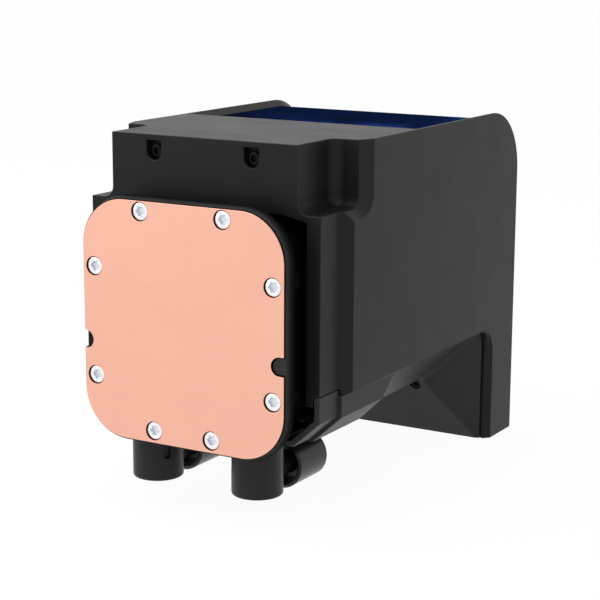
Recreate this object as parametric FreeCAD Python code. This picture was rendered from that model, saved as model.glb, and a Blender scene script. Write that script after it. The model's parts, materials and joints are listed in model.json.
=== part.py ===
"""Pump and curved display head of an all-in-one liquid cooler, in millimetres.

The cold plate faces -Y with the middle of its face at the origin.
+Z is up and the head reaches back along +Y.
"""
import FreeCAD, Part
import math
import os

from FreeCAD import Vector

# Fits shared by every piece
SLIP_GAP = 0.2
RUN_GAP = 0.05
SEAT_GAP = 0.02
AIR_GAP = 0.3
CUT_PAST = 1.0
NEAR = 0.001
ALONG_SHARE = 0.99
SCREW_EDGE_SHARE = 0.25

# Cold plate, its fins and its screws
PLATE_WIDTH = 60.0
PLATE_HEIGHT = 62.4
PLATE_CORNER = 12.5
PLATE_THICK = 2.6
KEY_RADIUS = 2.4
LEFT_KEY_INSET = 0.2
RIGHT_KEY_INSET = 1.3
KEY_DROP = 6.3
LEFT_KEY_SUNK = 1.4
RIGHT_KEY_SUNK = 0.5
KEY_GAP = 0.3
FIN_FIELD = 30.0
FIN_COUNT = 15
FIN_HEIGHT = 3.0
FIN_GAP = 0.9
PLATE_SCREW_HEAD_R = 2.25
PLATE_SCREW_HEAD = 1.3
PLATE_SCREW_R = 1.25
PLATE_SCREW_LENGTH = 5.0
PLATE_SCREW_SUNK = 0.5
PLATE_SCREW_GAP = 0.25
TOP_SCREW_X = 12.3
TOP_SCREW_INSET = 2.7
LOW_SCREW_X = 8.7
LOW_SCREW_INSET = 3.1
SIDE_SCREW_INSET = 3.3
SIDE_SCREW_HIGH_Z = 13.2
SIDE_SCREW_LOW_Z = -15.5

# Pump casing
RIM_WALL = 0.9
RIM_LIP = 0.3
RIM_SET_BACK = 0.5
RIM_FLARE_END = 2.6
PLATE_GAP = 0.1
FLANGE_THICK = 1.1
CASING_HALF = 27.6
CASING_CORNER = 10.0
CASING_REAR = 24.0
SCREW_BOSS_R = 2.9
WET_HALF = 17.0
WET_DEPTH = 4.4
INLET_WALL = 1.4
CHAMBER_R = 13.0
CHAMBER_DEPTH = 5.2
DRY_R = 21.5
DRY_FLOOR_WALL = 2.4
SUCTION_HOLE_R = 1.6
SUCTION_CIRCLE_R = 5.2
SUCTION_HOLES = 6
SHAFT_BOSS_R = 2.4
SHAFT_BOSS = 0.6
SEAL_WIDTH = 1.6
SEAL_DEPTH = 1.2
SEAL_MARGIN = 3.2
SEAL_CORNER = 8.0

# Rotor, can and stator
SHAFT_R = 1.0
SHAFT_SOCKET = 1.6
BUSH_R = 2.2
WASHER_R = 2.4
WASHER = 0.25
WASHER_PLAY = 0.1
IMPELLER_R = 12.2
IMPELLER_GAP = 0.5
BLADE_COUNT = 7
BLADE_HEIGHT = 2.4
BLADE_THICK = 0.9
BLADE_EYE_R = 3.6
BLADE_SWEEP = 55.0
BLADE_REACH_SHARE = 0.97
DISC_THICK = 1.2
ROTOR_LENGTH = 7.0
CAN_WALL = 0.6
CAN_FLANGE_R = 14.9
CAN_FLANGE = 1.2
CAN_BORE_R = 8.4
CAN_END_WALL = 0.9
CAN_BOSS = 1.2
ROTOR_GAP = 0.5
MAGNET_WALL = 0.55
MAGNET_INNER_R = 5.0
MAGNET_LENGTH = 5.8
STATOR_HEIGHT = 5.0
STATOR_YOKE = 4.0
TOOTH_COUNT = 6
TOOTH_WIDTH = 3.0
TOOTH_HEIGHT = 2.6
COIL_WALL = 1.1
COIL_END_GAP = 1.0
COIL_ROUND = 0.9
PUMP_BOARD = 1.0
PUMP_BOARD_R = 22.5
PUMP_CHIP = 7.2
CAP_DEPTH = 6.0
CAP_WALL = 1.8
CAP_SCREW_SPREAD = 21.2
CAP_BOSS_R = 3.2

# Swivel elbows and hose collars
PORT_X = 15.4
PORT_Y = 11.4
PORT_BORE_R = 2.6
PORT_CHANNEL_Z = -6.0
NECK_R = 4.2
NECK_LENGTH = 7.0
NECK_GROOVE_R = 3.4
CLIP_Z_BELOW = 2.6
CLIP_THICK = 1.0
CLIP_ARM = 1.3
NECK_SEAL_R = 0.35
NECK_SEAL_DROP = 1.6
ELBOW_R = 6.7
ELBOW_LOW = -43.8
ELBOW_EDGE = 0.7
SPIGOT_Z = -39.2
SPIGOT_R = 3.0
SPIGOT_BORE_R = 1.9
GROOVE_WIDTH = 1.8
GROOVE_LOW = -37.7
GROOVE_DEPTH = 1.1
GROOVE_TURN = 56.0
COLLAR_R = 6.4
COLLAR_FRONT = 22.5
COLLAR_LENGTH = 14.3
COLLAR_RECESS_R = 5.4
COLLAR_RECESS = 4.0
COLLAR_WEB = 1.5
HOSE_SOCKET_R = 5.0
COLLAR_EDGE = 0.5

# Head shell
HEAD_WIDTH = 74.0
HEAD_TOP = 46.8
HEAD_REAR = 123.5
FRONT = 9.9
FRONT_WALL = 4.5
SIDE_WALL = 2.5
SIDE_LOW = -16.9
LEG_FRONT = 108.5
LEG_LOW = -50.6
LEG_ROUND = 7.0
SIDE_EDGE = 0.5
REAR_ROUND = 18.0
BLOCK_WIDTH = 55.4
STEP_Y = 27.6
STEP_ROUND = 3.5
SHOULDER_ROUND = 4.8
SLEEVE_WIDTH = 68.8
SLEEVE_TOP = 29.7
SLEEVE_LOW = -15.5
SLEEVE_ROOF_WALL = 1.8
SLEEVE_CHAMFER_START = 18.9
SLEEVE_CHAMFER_END = 22.3
MOUTH_WALL = 4.0
MOUTH_ARCH_RUN = 6.9
MOUTH_ARCH_RISE = 1.4
LEDGE_COVE = 3.0
LAP_THICK = 2.0
LIP_LOW = -18.3
RECESS_X = 14.6
RECESS_R = 2.2
RECESS_DROP = 4.35
RECESS_TOP_DROP = 1.5
RECESS_DEPTH = 2.6
SHELL_SCREW_R = 1.2
SHELL_SCREW_HEAD_R = 1.8
SHELL_SCREW_HEAD = 1.4

# Display panel, carrier and rails
SCREEN_START = 57.2
SCREEN_RECESS = 1.8
SCREEN_BEVEL = 1.7
PANEL_THICK = 0.7
PANEL_END = -46.2
CARRIER_THICK = 1.6
CARRIER_UNDER_TOP = 6.0
CARRIER_END_STEP = 1.5
RAIL_DEPTH = 1.8
RAIL_WIDTH = 2.0

# Under cover of the belly and the rear leg
COVER_WALL = 1.8
COVER_RIM = 5.0
BELLY_WIDTH = 44.0
BELLY_LOW = -30.6
BELLY_FRONT = 45.1
HIP_RUN = 13.3
HIP_LOW_SET_BACK = 1.8
HIP_ROUND = 3.0
CHIN_THICK = 1.4
CHIN_OVERLAP = 0.4
COVER_SCREW_X = 18.2
COVER_SCREW_DROP = 2.6
COVER_SCREW_R = 1.2
COVER_SCREW_HEAD_R = 1.7
COVER_SCREW_HEAD = 1.3
COVER_BOSS_R = 2.7
COVER_BOSS_END = 102.0

# Lower tray
TRAY_WALL = 1.6
TRAY_KNEE_Z = -22.4
TRAY_FLOOR_WIDTH = 53.4
TRAY_LOW = -29.4
TRAY_STEP_Y = 19.5
TRAY_STEP_OUT = 1.0
TRAY_REAR = 49.0
TRAY_NOTCH_Y = 41.8
TRAY_NOTCH_Z = -23.0
TRAY_FLOOR_REAR = 44.8
TRAY_CUT_WIDTH = 49.0
TRAY_CUT_REAR = 30.0

# Bracket between pump, shell and tray
SHEET = 1.5
SHEET_BEND = 1.0
BRACKET_WIDTH = 42.0
ARM_Z = 36.5
FOOT_LENGTH = 9.5
BRACKET_SCREW_SPREAD = 13.0
BRACKET_SCREW_R = 1.2
BRACKET_SCREW_HEAD_R = 2.2
BRACKET_SCREW_HEAD = 1.5
BRACKET_BOSS = 2.0
TRAY_SCREW_X = 12.0
TRAY_SCREW_INSET = 4.5

# Driver board in the rear leg
BOARD_WIDTH = 56.0
BOARD_LOW = -42.0
BOARD_HEIGHT = 54.0
BOARD_THICK = 1.2
STANDOFF = 2.0
STANDOFF_R = 2.2
BOARD_SCREW_R = 0.9
BOARD_SCREW_HEAD_R = 1.8
BOARD_SCREW_HEAD = 1.2
BOARD_SCREW_INSET = 3.6
SHIELD_SIZE = 26.0
SHIELD_HEIGHT = 2.6
SHIELD_LOW_Z = -20.0
SOCKET_WIDTH = 12.0
SOCKET_HEIGHT = 5.0
SOCKET_DEPTH = 3.6
SOCKET_WALL = 0.9
FLEX_WIDTH = 24.0
FLEX_THICK = 0.3
FLEX_LAP = 8.0

# Worked out from the sizes above
PLATE_HALF_X = PLATE_WIDTH / 2
PLATE_HALF_Z = PLATE_HEIGHT / 2
POCKET_HALF_X = PLATE_HALF_X + PLATE_GAP
POCKET_HALF_Z = PLATE_HALF_Z + PLATE_GAP
FLANGE_REAR = PLATE_THICK + FLANGE_THICK
WET_FLOOR = PLATE_THICK + WET_DEPTH
CHAMBER_FRONT = WET_FLOOR + INLET_WALL
CHAMBER_REAR = CHAMBER_FRONT + CHAMBER_DEPTH
DRY_FLOOR = CHAMBER_REAR + DRY_FLOOR_WALL
SHAFT_BOSS_END = CHAMBER_FRONT + SHAFT_BOSS
BLADE_FRONT = CHAMBER_FRONT + IMPELLER_GAP
DISC_FRONT = BLADE_FRONT + BLADE_HEIGHT
DISC_REAR = DISC_FRONT + DISC_THICK
ROTOR_R = CAN_BORE_R - ROTOR_GAP
ROTOR_REAR = DISC_REAR + ROTOR_LENGTH
CAN_R = CAN_BORE_R + CAN_WALL
BUSH_FRONT = SHAFT_BOSS_END + WASHER + 2 * WASHER_PLAY
CAN_BOSS_FRONT = ROTOR_REAR + WASHER + 2 * WASHER_PLAY
CAN_END = CAN_BOSS_FRONT + CAN_BOSS
CAN_REAR = CAN_END + CAN_END_WALL
PUMP_REAR = CASING_REAR + CAP_DEPTH
ELBOW_TOP = -CASING_HALF - AIR_GAP
NECK_TOP = -CASING_HALF + NECK_LENGTH
CLIP_Z = -CASING_HALF + CLIP_Z_BELOW
COLLAR_REAR = COLLAR_FRONT + COLLAR_LENGTH
COLLAR_WEB_FRONT = COLLAR_FRONT + COLLAR_RECESS
COLLAR_WEB_REAR = COLLAR_WEB_FRONT + COLLAR_WEB
HEAD_HALF = HEAD_WIDTH / 2
INNER_HALF = HEAD_HALF - SIDE_WALL
BLOCK_HALF = BLOCK_WIDTH / 2
SLEEVE_HALF = SLEEVE_WIDTH / 2
MOUTH_HALF = SLEEVE_HALF - MOUTH_WALL
TOP_WALL = SCREEN_RECESS + PANEL_THICK
CARRIER_BACK = TOP_WALL + CARRIER_THICK
RAIL_BACK = CARRIER_BACK + RAIL_DEPTH
CARRIER_END = PANEL_END + CARRIER_END_STEP
CARRIER_FACE = HEAD_REAR - CARRIER_BACK
RECESS_Z = HEAD_TOP - RECESS_DROP
COVER_HALF = INNER_HALF - SLIP_GAP
COVER_REAR = HEAD_REAR - RAIL_BACK - SLIP_GAP
BELLY_HALF = BELLY_WIDTH / 2
HIP_LOW_Y = LEG_FRONT - HIP_LOW_SET_BACK
HIP_TOP_Y = HIP_LOW_Y - HIP_RUN
COVER_SCREW_Z = BELLY_LOW - COVER_SCREW_DROP
TRAY_HALF = SLEEVE_HALF
TRAY_FLOOR_HALF = TRAY_FLOOR_WIDTH / 2
TRAY_INNER_FLOOR = TRAY_LOW + TRAY_WALL
BRACKET_HALF = BRACKET_WIDTH / 2
BRACKET_REAR = PUMP_REAR + SHEET
TAB_FRONT = FRONT + FRONT_WALL
TRAY_SCREW_Y = BRACKET_REAR + TRAY_SCREW_INSET
BOARD_REAR = CARRIER_FACE - STANDOFF
BOARD_FRONT = BOARD_REAR - BOARD_THICK
BOARD_HALF = BOARD_WIDTH / 2
BOARD_TOP = BOARD_LOW + BOARD_HEIGHT


def plan(z):
    """Places an outline's two coordinates as X and Y at one height."""
    return lambda p: Vector(p[0], p[1], z)


def front(y):
    """Places an outline's two coordinates as X and Z at one depth."""
    return lambda p: Vector(p[0], y, p[1])


def side(x):
    """Places an outline's two coordinates as Y and Z at one width."""
    return lambda p: Vector(x, p[0], p[1])


def bend(centre, radius, start_deg, end_deg):
    """The middle and end of an arc, as one step of an outline."""
    points = []
    for angle in ((start_deg + end_deg) / 2, end_deg):
        turn = math.radians(angle)
        points.append((centre[0] + radius * math.cos(turn), centre[1] + radius * math.sin(turn)))
    return tuple(points)


def outline_edges(place, start, steps):
    """Edges along an outline, where a step is a point, or the middle and end of an arc."""
    edges = []
    here = start
    for step in steps:
        if isinstance(step[0], tuple):
            middle, end = step
            edges.append(Part.Arc(place(here), place(middle), place(end)).toShape())
        else:
            end = step
            edges.append(Part.makeLine(place(here), place(end)))
        here = end
    return edges


def face_of(place, start, *steps):
    """Flat face inside a closed outline."""
    return Part.Face(Part.Wire(outline_edges(place, start, steps + (start,))))


def symmetric_face(place, start, *steps):
    """Flat face of an outline drawn at positive X together with its mirror image."""
    half = outline_edges(place, start, steps)
    mirrored = [edge.mirror(Vector(), Vector(1, 0, 0)) for edge in half]
    end = steps[-1]
    ties = [Part.makeLine(place((-p[0], p[1])), place(p)) for p in (start, end)]
    return Part.Face(Part.Wire(Part.__sortEdges__(half + mirrored + ties)))


def box(x0, x1, y0, y1, z0, z1):
    """Block between two corners."""
    return Part.makeBox(x1 - x0, y1 - y0, z1 - z0, Vector(x0, y0, z0))


def rod_y(radius, y0, y1, x=0.0, z=0.0):
    """Cylinder along Y."""
    return Part.makeCylinder(radius, y1 - y0, Vector(x, y0, z), Vector(0, 1, 0))


def rod_z(radius, z0, z1, x, y):
    """Cylinder along Z."""
    return Part.makeCylinder(radius, z1 - z0, Vector(x, y, z0), Vector(0, 0, 1))


def tube_y(outer, inner, y0, y1, x=0.0, z=0.0):
    """Tube along Y."""
    return rod_y(outer, y0, y1, x, z).cut(rod_y(inner, y0, y1, x, z))


def rounded_block(half_x, half_z, corner, y0, y1):
    """Block centred on the pump's axis with its four edges along Y rounded."""
    block = box(-half_x, half_x, y0, y1, -half_z, half_z)
    along_y = [edge for edge in block.Edges if abs(edge.tangentAt(edge.FirstParameter).y) > ALONG_SHARE]
    return block.makeFillet(corner, along_y)


def edges_along_x(shape, y, z):
    """The edges of a shape that run along X through one place."""
    found = []
    for edge in shape.Edges:
        if all(abs(v.Y - y) < NEAR and abs(v.Z - z) < NEAR for v in edge.Vertexes):
            found.append(edge)
    return found


def edges_between(shape, a, b):
    """The straight edges of a shape that join two places."""
    found = []
    for edge in shape.Edges:
        ends = [vertex.Point for vertex in edge.Vertexes]
        if len(ends) == 2 and any((p - a).Length + (q - b).Length < NEAR for p, q in (ends, ends[::-1])):
            found.append(edge)
    return found


def mirror_x(shape):
    """Mirror image on the other side of the middle plane."""
    return shape.mirror(Vector(), Vector(1, 0, 0))


def both_sides(shape):
    """A shape at positive X and its mirror image, as separate solids."""
    return [shape, mirror_x(shape)]


def turned(shape, degrees):
    """Copy of a shape turned about the pump's axis."""
    copy = shape.copy()
    copy.rotate(Vector(), Vector(0, 1, 0), degrees)
    return copy


def screw_y(x, z, seat_y, head_r, head, shank_r, length):
    """Pan-head screw driven towards +Y, with its head in front of its seat."""
    cap = rod_y(head_r, seat_y - head, seat_y, x, z)
    rim = [edge for edge in cap.Edges if abs(edge.BoundBox.YMax - (seat_y - head)) < NEAR]
    cap = cap.makeChamfer(head * SCREW_EDGE_SHARE, rim)
    return cap.fuse(rod_y(shank_r, seat_y, seat_y + length, x, z)).removeSplitter()


def reversed_screw_y(x, z, seat_y, head_r, head, shank_r, length):
    """Pan-head screw driven towards -Y, with its head behind its seat."""
    screw = screw_y(x, z, -seat_y, head_r, head, shank_r, length)
    return screw.mirror(Vector(), Vector(0, 1, 0))


def plate_screw_places():
    """X and Z of the screws round the cold plate."""
    places = []
    for sign in (-1, 1):
        places.append((sign * TOP_SCREW_X, PLATE_HALF_Z - TOP_SCREW_INSET))
        places.append((sign * LOW_SCREW_X, LOW_SCREW_INSET - PLATE_HALF_Z))
        for z in (SIDE_SCREW_HIGH_Z, SIDE_SCREW_LOW_Z):
            places.append((sign * (PLATE_HALF_X - SIDE_SCREW_INSET), z))
    return places


def key_places():
    """X and Z of the round keys that locate the cold plate in its rim."""
    return [(LEFT_KEY_INSET - PLATE_HALF_X, -KEY_DROP), (PLATE_HALF_X - RIGHT_KEY_INSET, -KEY_DROP)]


def key_block(x, z, radius, y):
    """Round-ended block from a key's place out past the rim, from one depth to the flange."""
    outside = math.copysign(POCKET_HALF_X + RIM_WALL + CUT_PAST, x)
    low, high = sorted((x, outside))
    block = box(low, high, y, PLATE_THICK, z - radius, z + radius)
    return block.fuse(rod_y(radius, y, PLATE_THICK, x, z))


def cold_plate():
    """Copper plate with sunk screw seats, side keyways and a field of fins behind it."""
    plate = rounded_block(PLATE_HALF_X, PLATE_HALF_Z, PLATE_CORNER, 0, PLATE_THICK)
    fin_top = PLATE_THICK + FIN_HEIGHT
    field = FIN_FIELD / 2
    plate = plate.fuse(box(-field, field, PLATE_THICK, fin_top, -field, field))
    seat_y = PLATE_SCREW_SUNK + PLATE_SCREW_HEAD
    cuts = []
    for x, z in plate_screw_places():
        cuts.append(rod_y(PLATE_SCREW_HEAD_R + PLATE_SCREW_GAP, 0, seat_y, x, z))
        cuts.append(rod_y(PLATE_SCREW_R + SLIP_GAP, 0, PLATE_THICK, x, z))
    cuts += [key_block(x, z, KEY_RADIUS, 0) for x, z in key_places()]
    pitch = FIN_FIELD / FIN_COUNT
    for i in range(FIN_COUNT):
        x = -field + (i + 0.5) * pitch
        cuts.append(box(x - FIN_GAP / 2, x + FIN_GAP / 2, PLATE_THICK, fin_top, -field, field))
    return plate.cut(cuts).removeSplitter()


def cold_plate_screws():
    """Pan-head screws sunk just below the contact face."""
    seat_y = PLATE_SCREW_SUNK + PLATE_SCREW_HEAD
    sizes = (seat_y, PLATE_SCREW_HEAD_R, PLATE_SCREW_HEAD, PLATE_SCREW_R, PLATE_SCREW_LENGTH)
    return Part.makeCompound([screw_y(x, z, *sizes) for x, z in plate_screw_places()])


def seal_block(extra, y1):
    """Rounded block whose edge is the middle line of the cold plate seal plus an extra."""
    half = WET_HALF + SEAL_MARGIN + extra
    return rounded_block(half, half, SEAL_CORNER + extra, PLATE_THICK, y1)


def cold_plate_seal():
    """Flat rubber ring between the cold plate and the casing."""
    half = SEAL_WIDTH / 2 - RUN_GAP
    end = PLATE_THICK + SEAL_DEPTH - RUN_GAP
    return seal_block(half, end).cut(seal_block(-half, end))


def port_cuts(sign):
    """Neck socket, riser, swivel room and clip slot for the elbow on one side."""
    x = sign * PORT_X
    slot_half = NECK_GROOVE_R + RUN_GAP + CLIP_ARM + AIR_GAP
    slot_z = CLIP_THICK / 2 + RUN_GAP
    inner, outer = sorted((sign * (PORT_X - NECK_R), sign * (CASING_HALF + CUT_PAST)))
    return [
        rod_z(NECK_R + RUN_GAP, -CASING_HALF - CUT_PAST, NECK_TOP + AIR_GAP, x, PORT_Y),
        rod_z(PORT_BORE_R, NECK_TOP, PORT_CHANNEL_Z, x, PORT_Y),
        rod_z(ELBOW_R + AIR_GAP, ELBOW_LOW, -CASING_HALF, x, PORT_Y),
        box(inner, outer, PORT_Y - slot_half, PORT_Y + slot_half, CLIP_Z - slot_z, CLIP_Z + slot_z),
    ]


def rim_section(wall, y):
    """Outline of the rim round the cold plate at one depth, outside the plate's pocket by a wall."""
    corner = PLATE_CORNER + PLATE_GAP + wall
    block = rounded_block(POCKET_HALF_X + wall, POCKET_HALF_Z + wall, corner, y, y + RIM_WALL)
    faces = [face for face in block.Faces if face.BoundBox.YMax < y + NEAR]
    return faces[0].OuterWire


def flared_rim():
    """Flange behind the cold plate, whose rim flares out from a thin lip."""
    lip = rim_section(RIM_LIP, RIM_SET_BACK)
    foot = rim_section(RIM_WALL, RIM_FLARE_END)
    flare = Part.makeLoft([lip, foot], True, True)
    half_x = POCKET_HALF_X + RIM_WALL
    half_z = POCKET_HALF_Z + RIM_WALL
    corner = PLATE_CORNER + PLATE_GAP + RIM_WALL
    return flare.fuse(rounded_block(half_x, half_z, corner, RIM_FLARE_END, FLANGE_REAR))


def pump_casing():
    """Moulded casing with a rimmed pocket for the cold plate, wet and dry rooms and two ports."""
    flange = flared_rim()
    body = rounded_block(CASING_HALF, CASING_HALF, CASING_CORNER, FLANGE_REAR, CASING_REAR)
    boss_end = PLATE_SCREW_SUNK + PLATE_SCREW_HEAD + PLATE_SCREW_LENGTH + AIR_GAP + RIM_WALL
    bosses = [rod_y(SCREW_BOSS_R, PLATE_THICK, boss_end, x, z) for x, z in plate_screw_places()]
    casing = flange.fuse([body] + bosses)
    pocket = rounded_block(POCKET_HALF_X, POCKET_HALF_Z, PLATE_CORNER + PLATE_GAP, 0, PLATE_THICK)
    seal_end = PLATE_THICK + SEAL_DEPTH
    groove = seal_block(SEAL_WIDTH / 2, seal_end).cut(seal_block(-SEAL_WIDTH / 2, seal_end))
    cuts = [
        pocket,
        groove,
        box(-WET_HALF, WET_HALF, PLATE_THICK, WET_FLOOR, -WET_HALF, WET_HALF),
        rod_y(CHAMBER_R, CHAMBER_FRONT, CHAMBER_REAR + CUT_PAST),
        rod_y(CAN_FLANGE_R + SLIP_GAP, CHAMBER_REAR, DRY_FLOOR + CUT_PAST),
        rod_y(DRY_R, DRY_FLOOR, CASING_REAR),
        rod_y(PUMP_BOARD_R + SLIP_GAP, CASING_REAR - PUMP_BOARD, CASING_REAR),
        rod_y(PORT_BORE_R, WET_FLOOR, PORT_Y, PORT_X, PORT_CHANNEL_Z),
        Part.makeCylinder(PORT_BORE_R, PORT_X, Vector(-PORT_X, PORT_Y, PORT_CHANNEL_Z), Vector(1, 0, 0)),
    ]
    for i in range(SUCTION_HOLES):
        hole = rod_y(SUCTION_HOLE_R, WET_FLOOR, CHAMBER_FRONT, SUCTION_CIRCLE_R)
        cuts.append(turned(hole, 360 * i / SUCTION_HOLES))
    for x, z in plate_screw_places():
        cuts.append(rod_y(PLATE_SCREW_R + SEAT_GAP, PLATE_THICK, boss_end - RIM_WALL, x, z))
    for x, z in cap_screw_places():
        cuts.append(rod_y(BRACKET_SCREW_R + SEAT_GAP, DRY_FLOOR, CASING_REAR, x, z))
    for sign in (-1, 1):
        cuts += port_cuts(sign)
    left_key, right_key = key_places()
    casing = casing.cut(cuts + [key_block(*left_key, KEY_RADIUS, 0)])
    under_plate = box(-PLATE_HALF_X, POCKET_HALF_X, 0, PLATE_THICK, -PLATE_HALF_Z, PLATE_HALF_Z)
    key_radius = KEY_RADIUS - KEY_GAP
    keys = [
        key_block(*left_key, key_radius, LEFT_KEY_SUNK).common(under_plate),
        key_block(*right_key, key_radius, RIGHT_KEY_SUNK).common(under_plate),
    ]
    shaft_boss = rod_y(SHAFT_BOSS_R, CHAMBER_FRONT, SHAFT_BOSS_END)
    socket = rod_y(SHAFT_R + SEAT_GAP, SHAFT_BOSS_END - SHAFT_SOCKET, SHAFT_BOSS_END)
    return casing.fuse(keys + [shaft_boss]).cut(socket).removeSplitter()


def jet_plate():
    """Flow plate over the fins, with a middle slot and a hole under the inlet port."""
    half = WET_HALF - SLIP_GAP
    plate = box(-half, half, PLATE_THICK + FIN_HEIGHT + AIR_GAP, WET_FLOOR, -half, half)
    slot = box(-SUCTION_HOLE_R, SUCTION_HOLE_R, PLATE_THICK, WET_FLOOR, -SUCTION_CIRCLE_R, SUCTION_CIRCLE_R)
    eye = rod_y(SUCTION_CIRCLE_R + SUCTION_HOLE_R, PLATE_THICK, WET_FLOOR)
    inlet = rod_y(PORT_BORE_R, PLATE_THICK, WET_FLOOR, PORT_X, PORT_CHANNEL_Z)
    return plate.cut([slot, eye, inlet])


def pump_shaft():
    """Fixed ceramic shaft between the casing and the can."""
    return rod_y(SHAFT_R, SHAFT_BOSS_END - SHAFT_SOCKET + RUN_GAP, CAN_END)


def thrust_washers():
    """Washers at both ends of the rotor's bush."""
    first = SHAFT_BOSS_END + WASHER_PLAY / 2
    second = CAN_BOSS_FRONT - WASHER - WASHER_PLAY / 2
    return Part.makeCompound([tube_y(WASHER_R, SHAFT_R + RUN_GAP, y, y + WASHER) for y in (first, second)])


def rotor_bush():
    """Bearing bush that turns on the shaft."""
    return tube_y(BUSH_R - SEAT_GAP, SHAFT_R + RUN_GAP, BUSH_FRONT, ROTOR_REAR)


def blade():
    """One backward-curved blade of the impeller."""
    tip_r = IMPELLER_R - RUN_GAP
    reach = tip_r - BLADE_EYE_R

    def at(share, radius_shift):
        turn = math.radians(BLADE_SWEEP * share)
        radius = BLADE_EYE_R + reach * share
        offset = Vector(-math.sin(turn), 0, math.cos(turn)) * radius_shift
        return Vector(radius * math.cos(turn), BLADE_FRONT, radius * math.sin(turn)) + offset

    half = BLADE_THICK / 2
    end = BLADE_REACH_SHARE
    outer = Part.Arc(at(0, half), at(end / 2, half), at(end, half)).toShape()
    inner = Part.Arc(at(end, -half), at(end / 2, -half), at(0, -half)).toShape()
    tip = Part.makeLine(at(end, half), at(end, -half))
    root = Part.makeLine(at(0, -half), at(0, half))
    face = Part.Face(Part.Wire([outer, tip, inner, root]))
    return face.extrude(Vector(0, BLADE_HEIGHT, 0))


def impeller():
    """Bladed disc with a cup behind it that holds the magnet."""
    disc = rod_y(IMPELLER_R, DISC_FRONT, DISC_REAR)
    hub = rod_y(BLADE_EYE_R + BLADE_THICK, BUSH_FRONT, DISC_FRONT)
    cup = rod_y(ROTOR_R, DISC_REAR, ROTOR_REAR)
    blades = [turned(blade(), 360 * i / BLADE_COUNT) for i in range(BLADE_COUNT)]
    wheel = disc.fuse([hub, cup] + blades)
    pocket_front = ROTOR_REAR - MAGNET_LENGTH
    pocket = tube_y(ROTOR_R - MAGNET_WALL, MAGNET_INNER_R - SEAT_GAP, pocket_front, ROTOR_REAR)
    return wheel.cut([pocket, rod_y(BUSH_R, BUSH_FRONT, ROTOR_REAR)]).removeSplitter()


def rotor_magnet():
    """Ring magnet in the impeller's cup."""
    return tube_y(ROTOR_R - MAGNET_WALL - SEAT_GAP, MAGNET_INNER_R, ROTOR_REAR - MAGNET_LENGTH, ROTOR_REAR)


def separation_can():
    """Thin cup that keeps the liquid away from the windings."""
    flange = rod_y(CAN_FLANGE_R, CHAMBER_REAR, CHAMBER_REAR + CAN_FLANGE)
    can = flange.fuse(rod_y(CAN_R, CHAMBER_REAR, CAN_REAR))
    can = can.cut(rod_y(CAN_BORE_R, CHAMBER_REAR, CAN_END))
    boss = tube_y(SHAFT_BOSS_R, SHAFT_R + SEAT_GAP, CAN_BOSS_FRONT, CAN_END)
    return can.fuse(boss).removeSplitter()


def tooth(width, height, r0, r1):
    """Block along the first tooth of the stator, centred on the stator's height."""
    middle = DRY_FLOOR + STATOR_HEIGHT / 2
    return box(r0, r1, middle - height / 2, middle + height / 2, -width / 2, width / 2)


def stator_core():
    """Ring of laminations with teeth pointing at the can."""
    outer = DRY_R - RUN_GAP
    core = tube_y(outer, outer - STATOR_YOKE, DRY_FLOOR, DRY_FLOOR + STATOR_HEIGHT)
    arm = tooth(TOOTH_WIDTH, TOOTH_HEIGHT, CAN_R - CUT_PAST, outer - STATOR_YOKE / 2)
    arms = [turned(arm, 360 * i / TOOTH_COUNT) for i in range(TOOTH_COUNT)]
    can_room = rod_y(CAN_R + AIR_GAP, DRY_FLOOR, DRY_FLOOR + STATOR_HEIGHT)
    return core.fuse(arms).cut(can_room).removeSplitter()


def stator_coils():
    """One winding round each tooth."""
    r0 = CAN_R + AIR_GAP + COIL_END_GAP
    r1 = DRY_R - RUN_GAP - STATOR_YOKE - COIL_END_GAP
    hole = tooth(TOOTH_WIDTH + 2 * RUN_GAP, TOOTH_HEIGHT + 2 * RUN_GAP, r0, r1)
    winding = tooth(TOOTH_WIDTH + 2 * COIL_WALL, TOOTH_HEIGHT + 2 * COIL_WALL, r0, r1)
    along_x = [edge for edge in winding.Edges if abs(edge.tangentAt(edge.FirstParameter).x) > ALONG_SHARE]
    winding = winding.makeFillet(COIL_ROUND, along_x).cut(hole)
    return Part.makeCompound([turned(winding, 360 * i / TOOTH_COUNT) for i in range(TOOTH_COUNT)])


def pump_board():
    """Round circuit board that drives the windings."""
    front_y = CASING_REAR - PUMP_BOARD
    board = rod_y(PUMP_BOARD_R, front_y, CASING_REAR)
    chip_half = PUMP_CHIP / 2
    chip = box(-chip_half, chip_half, CASING_REAR, CASING_REAR + PUMP_BOARD, -chip_half, chip_half)
    return board.fuse(chip).removeSplitter()


def cap_screw_places():
    """X and Z of the screws in the corners of the pump cap."""
    spread = CAP_SCREW_SPREAD
    return [(x, z) for x in (-spread, spread) for z in (-spread, spread)]


def bracket_screw_places():
    """X and Z of the screws that hold the bracket on the pump cap."""
    spread = BRACKET_SCREW_SPREAD
    return [(x, z) for x in (-spread, spread) for z in (-spread, spread)]


def cap_screw_seat():
    """Depth of the seat under the cap screws' heads."""
    return PUMP_REAR - BRACKET_SCREW_HEAD - SLIP_GAP


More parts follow.
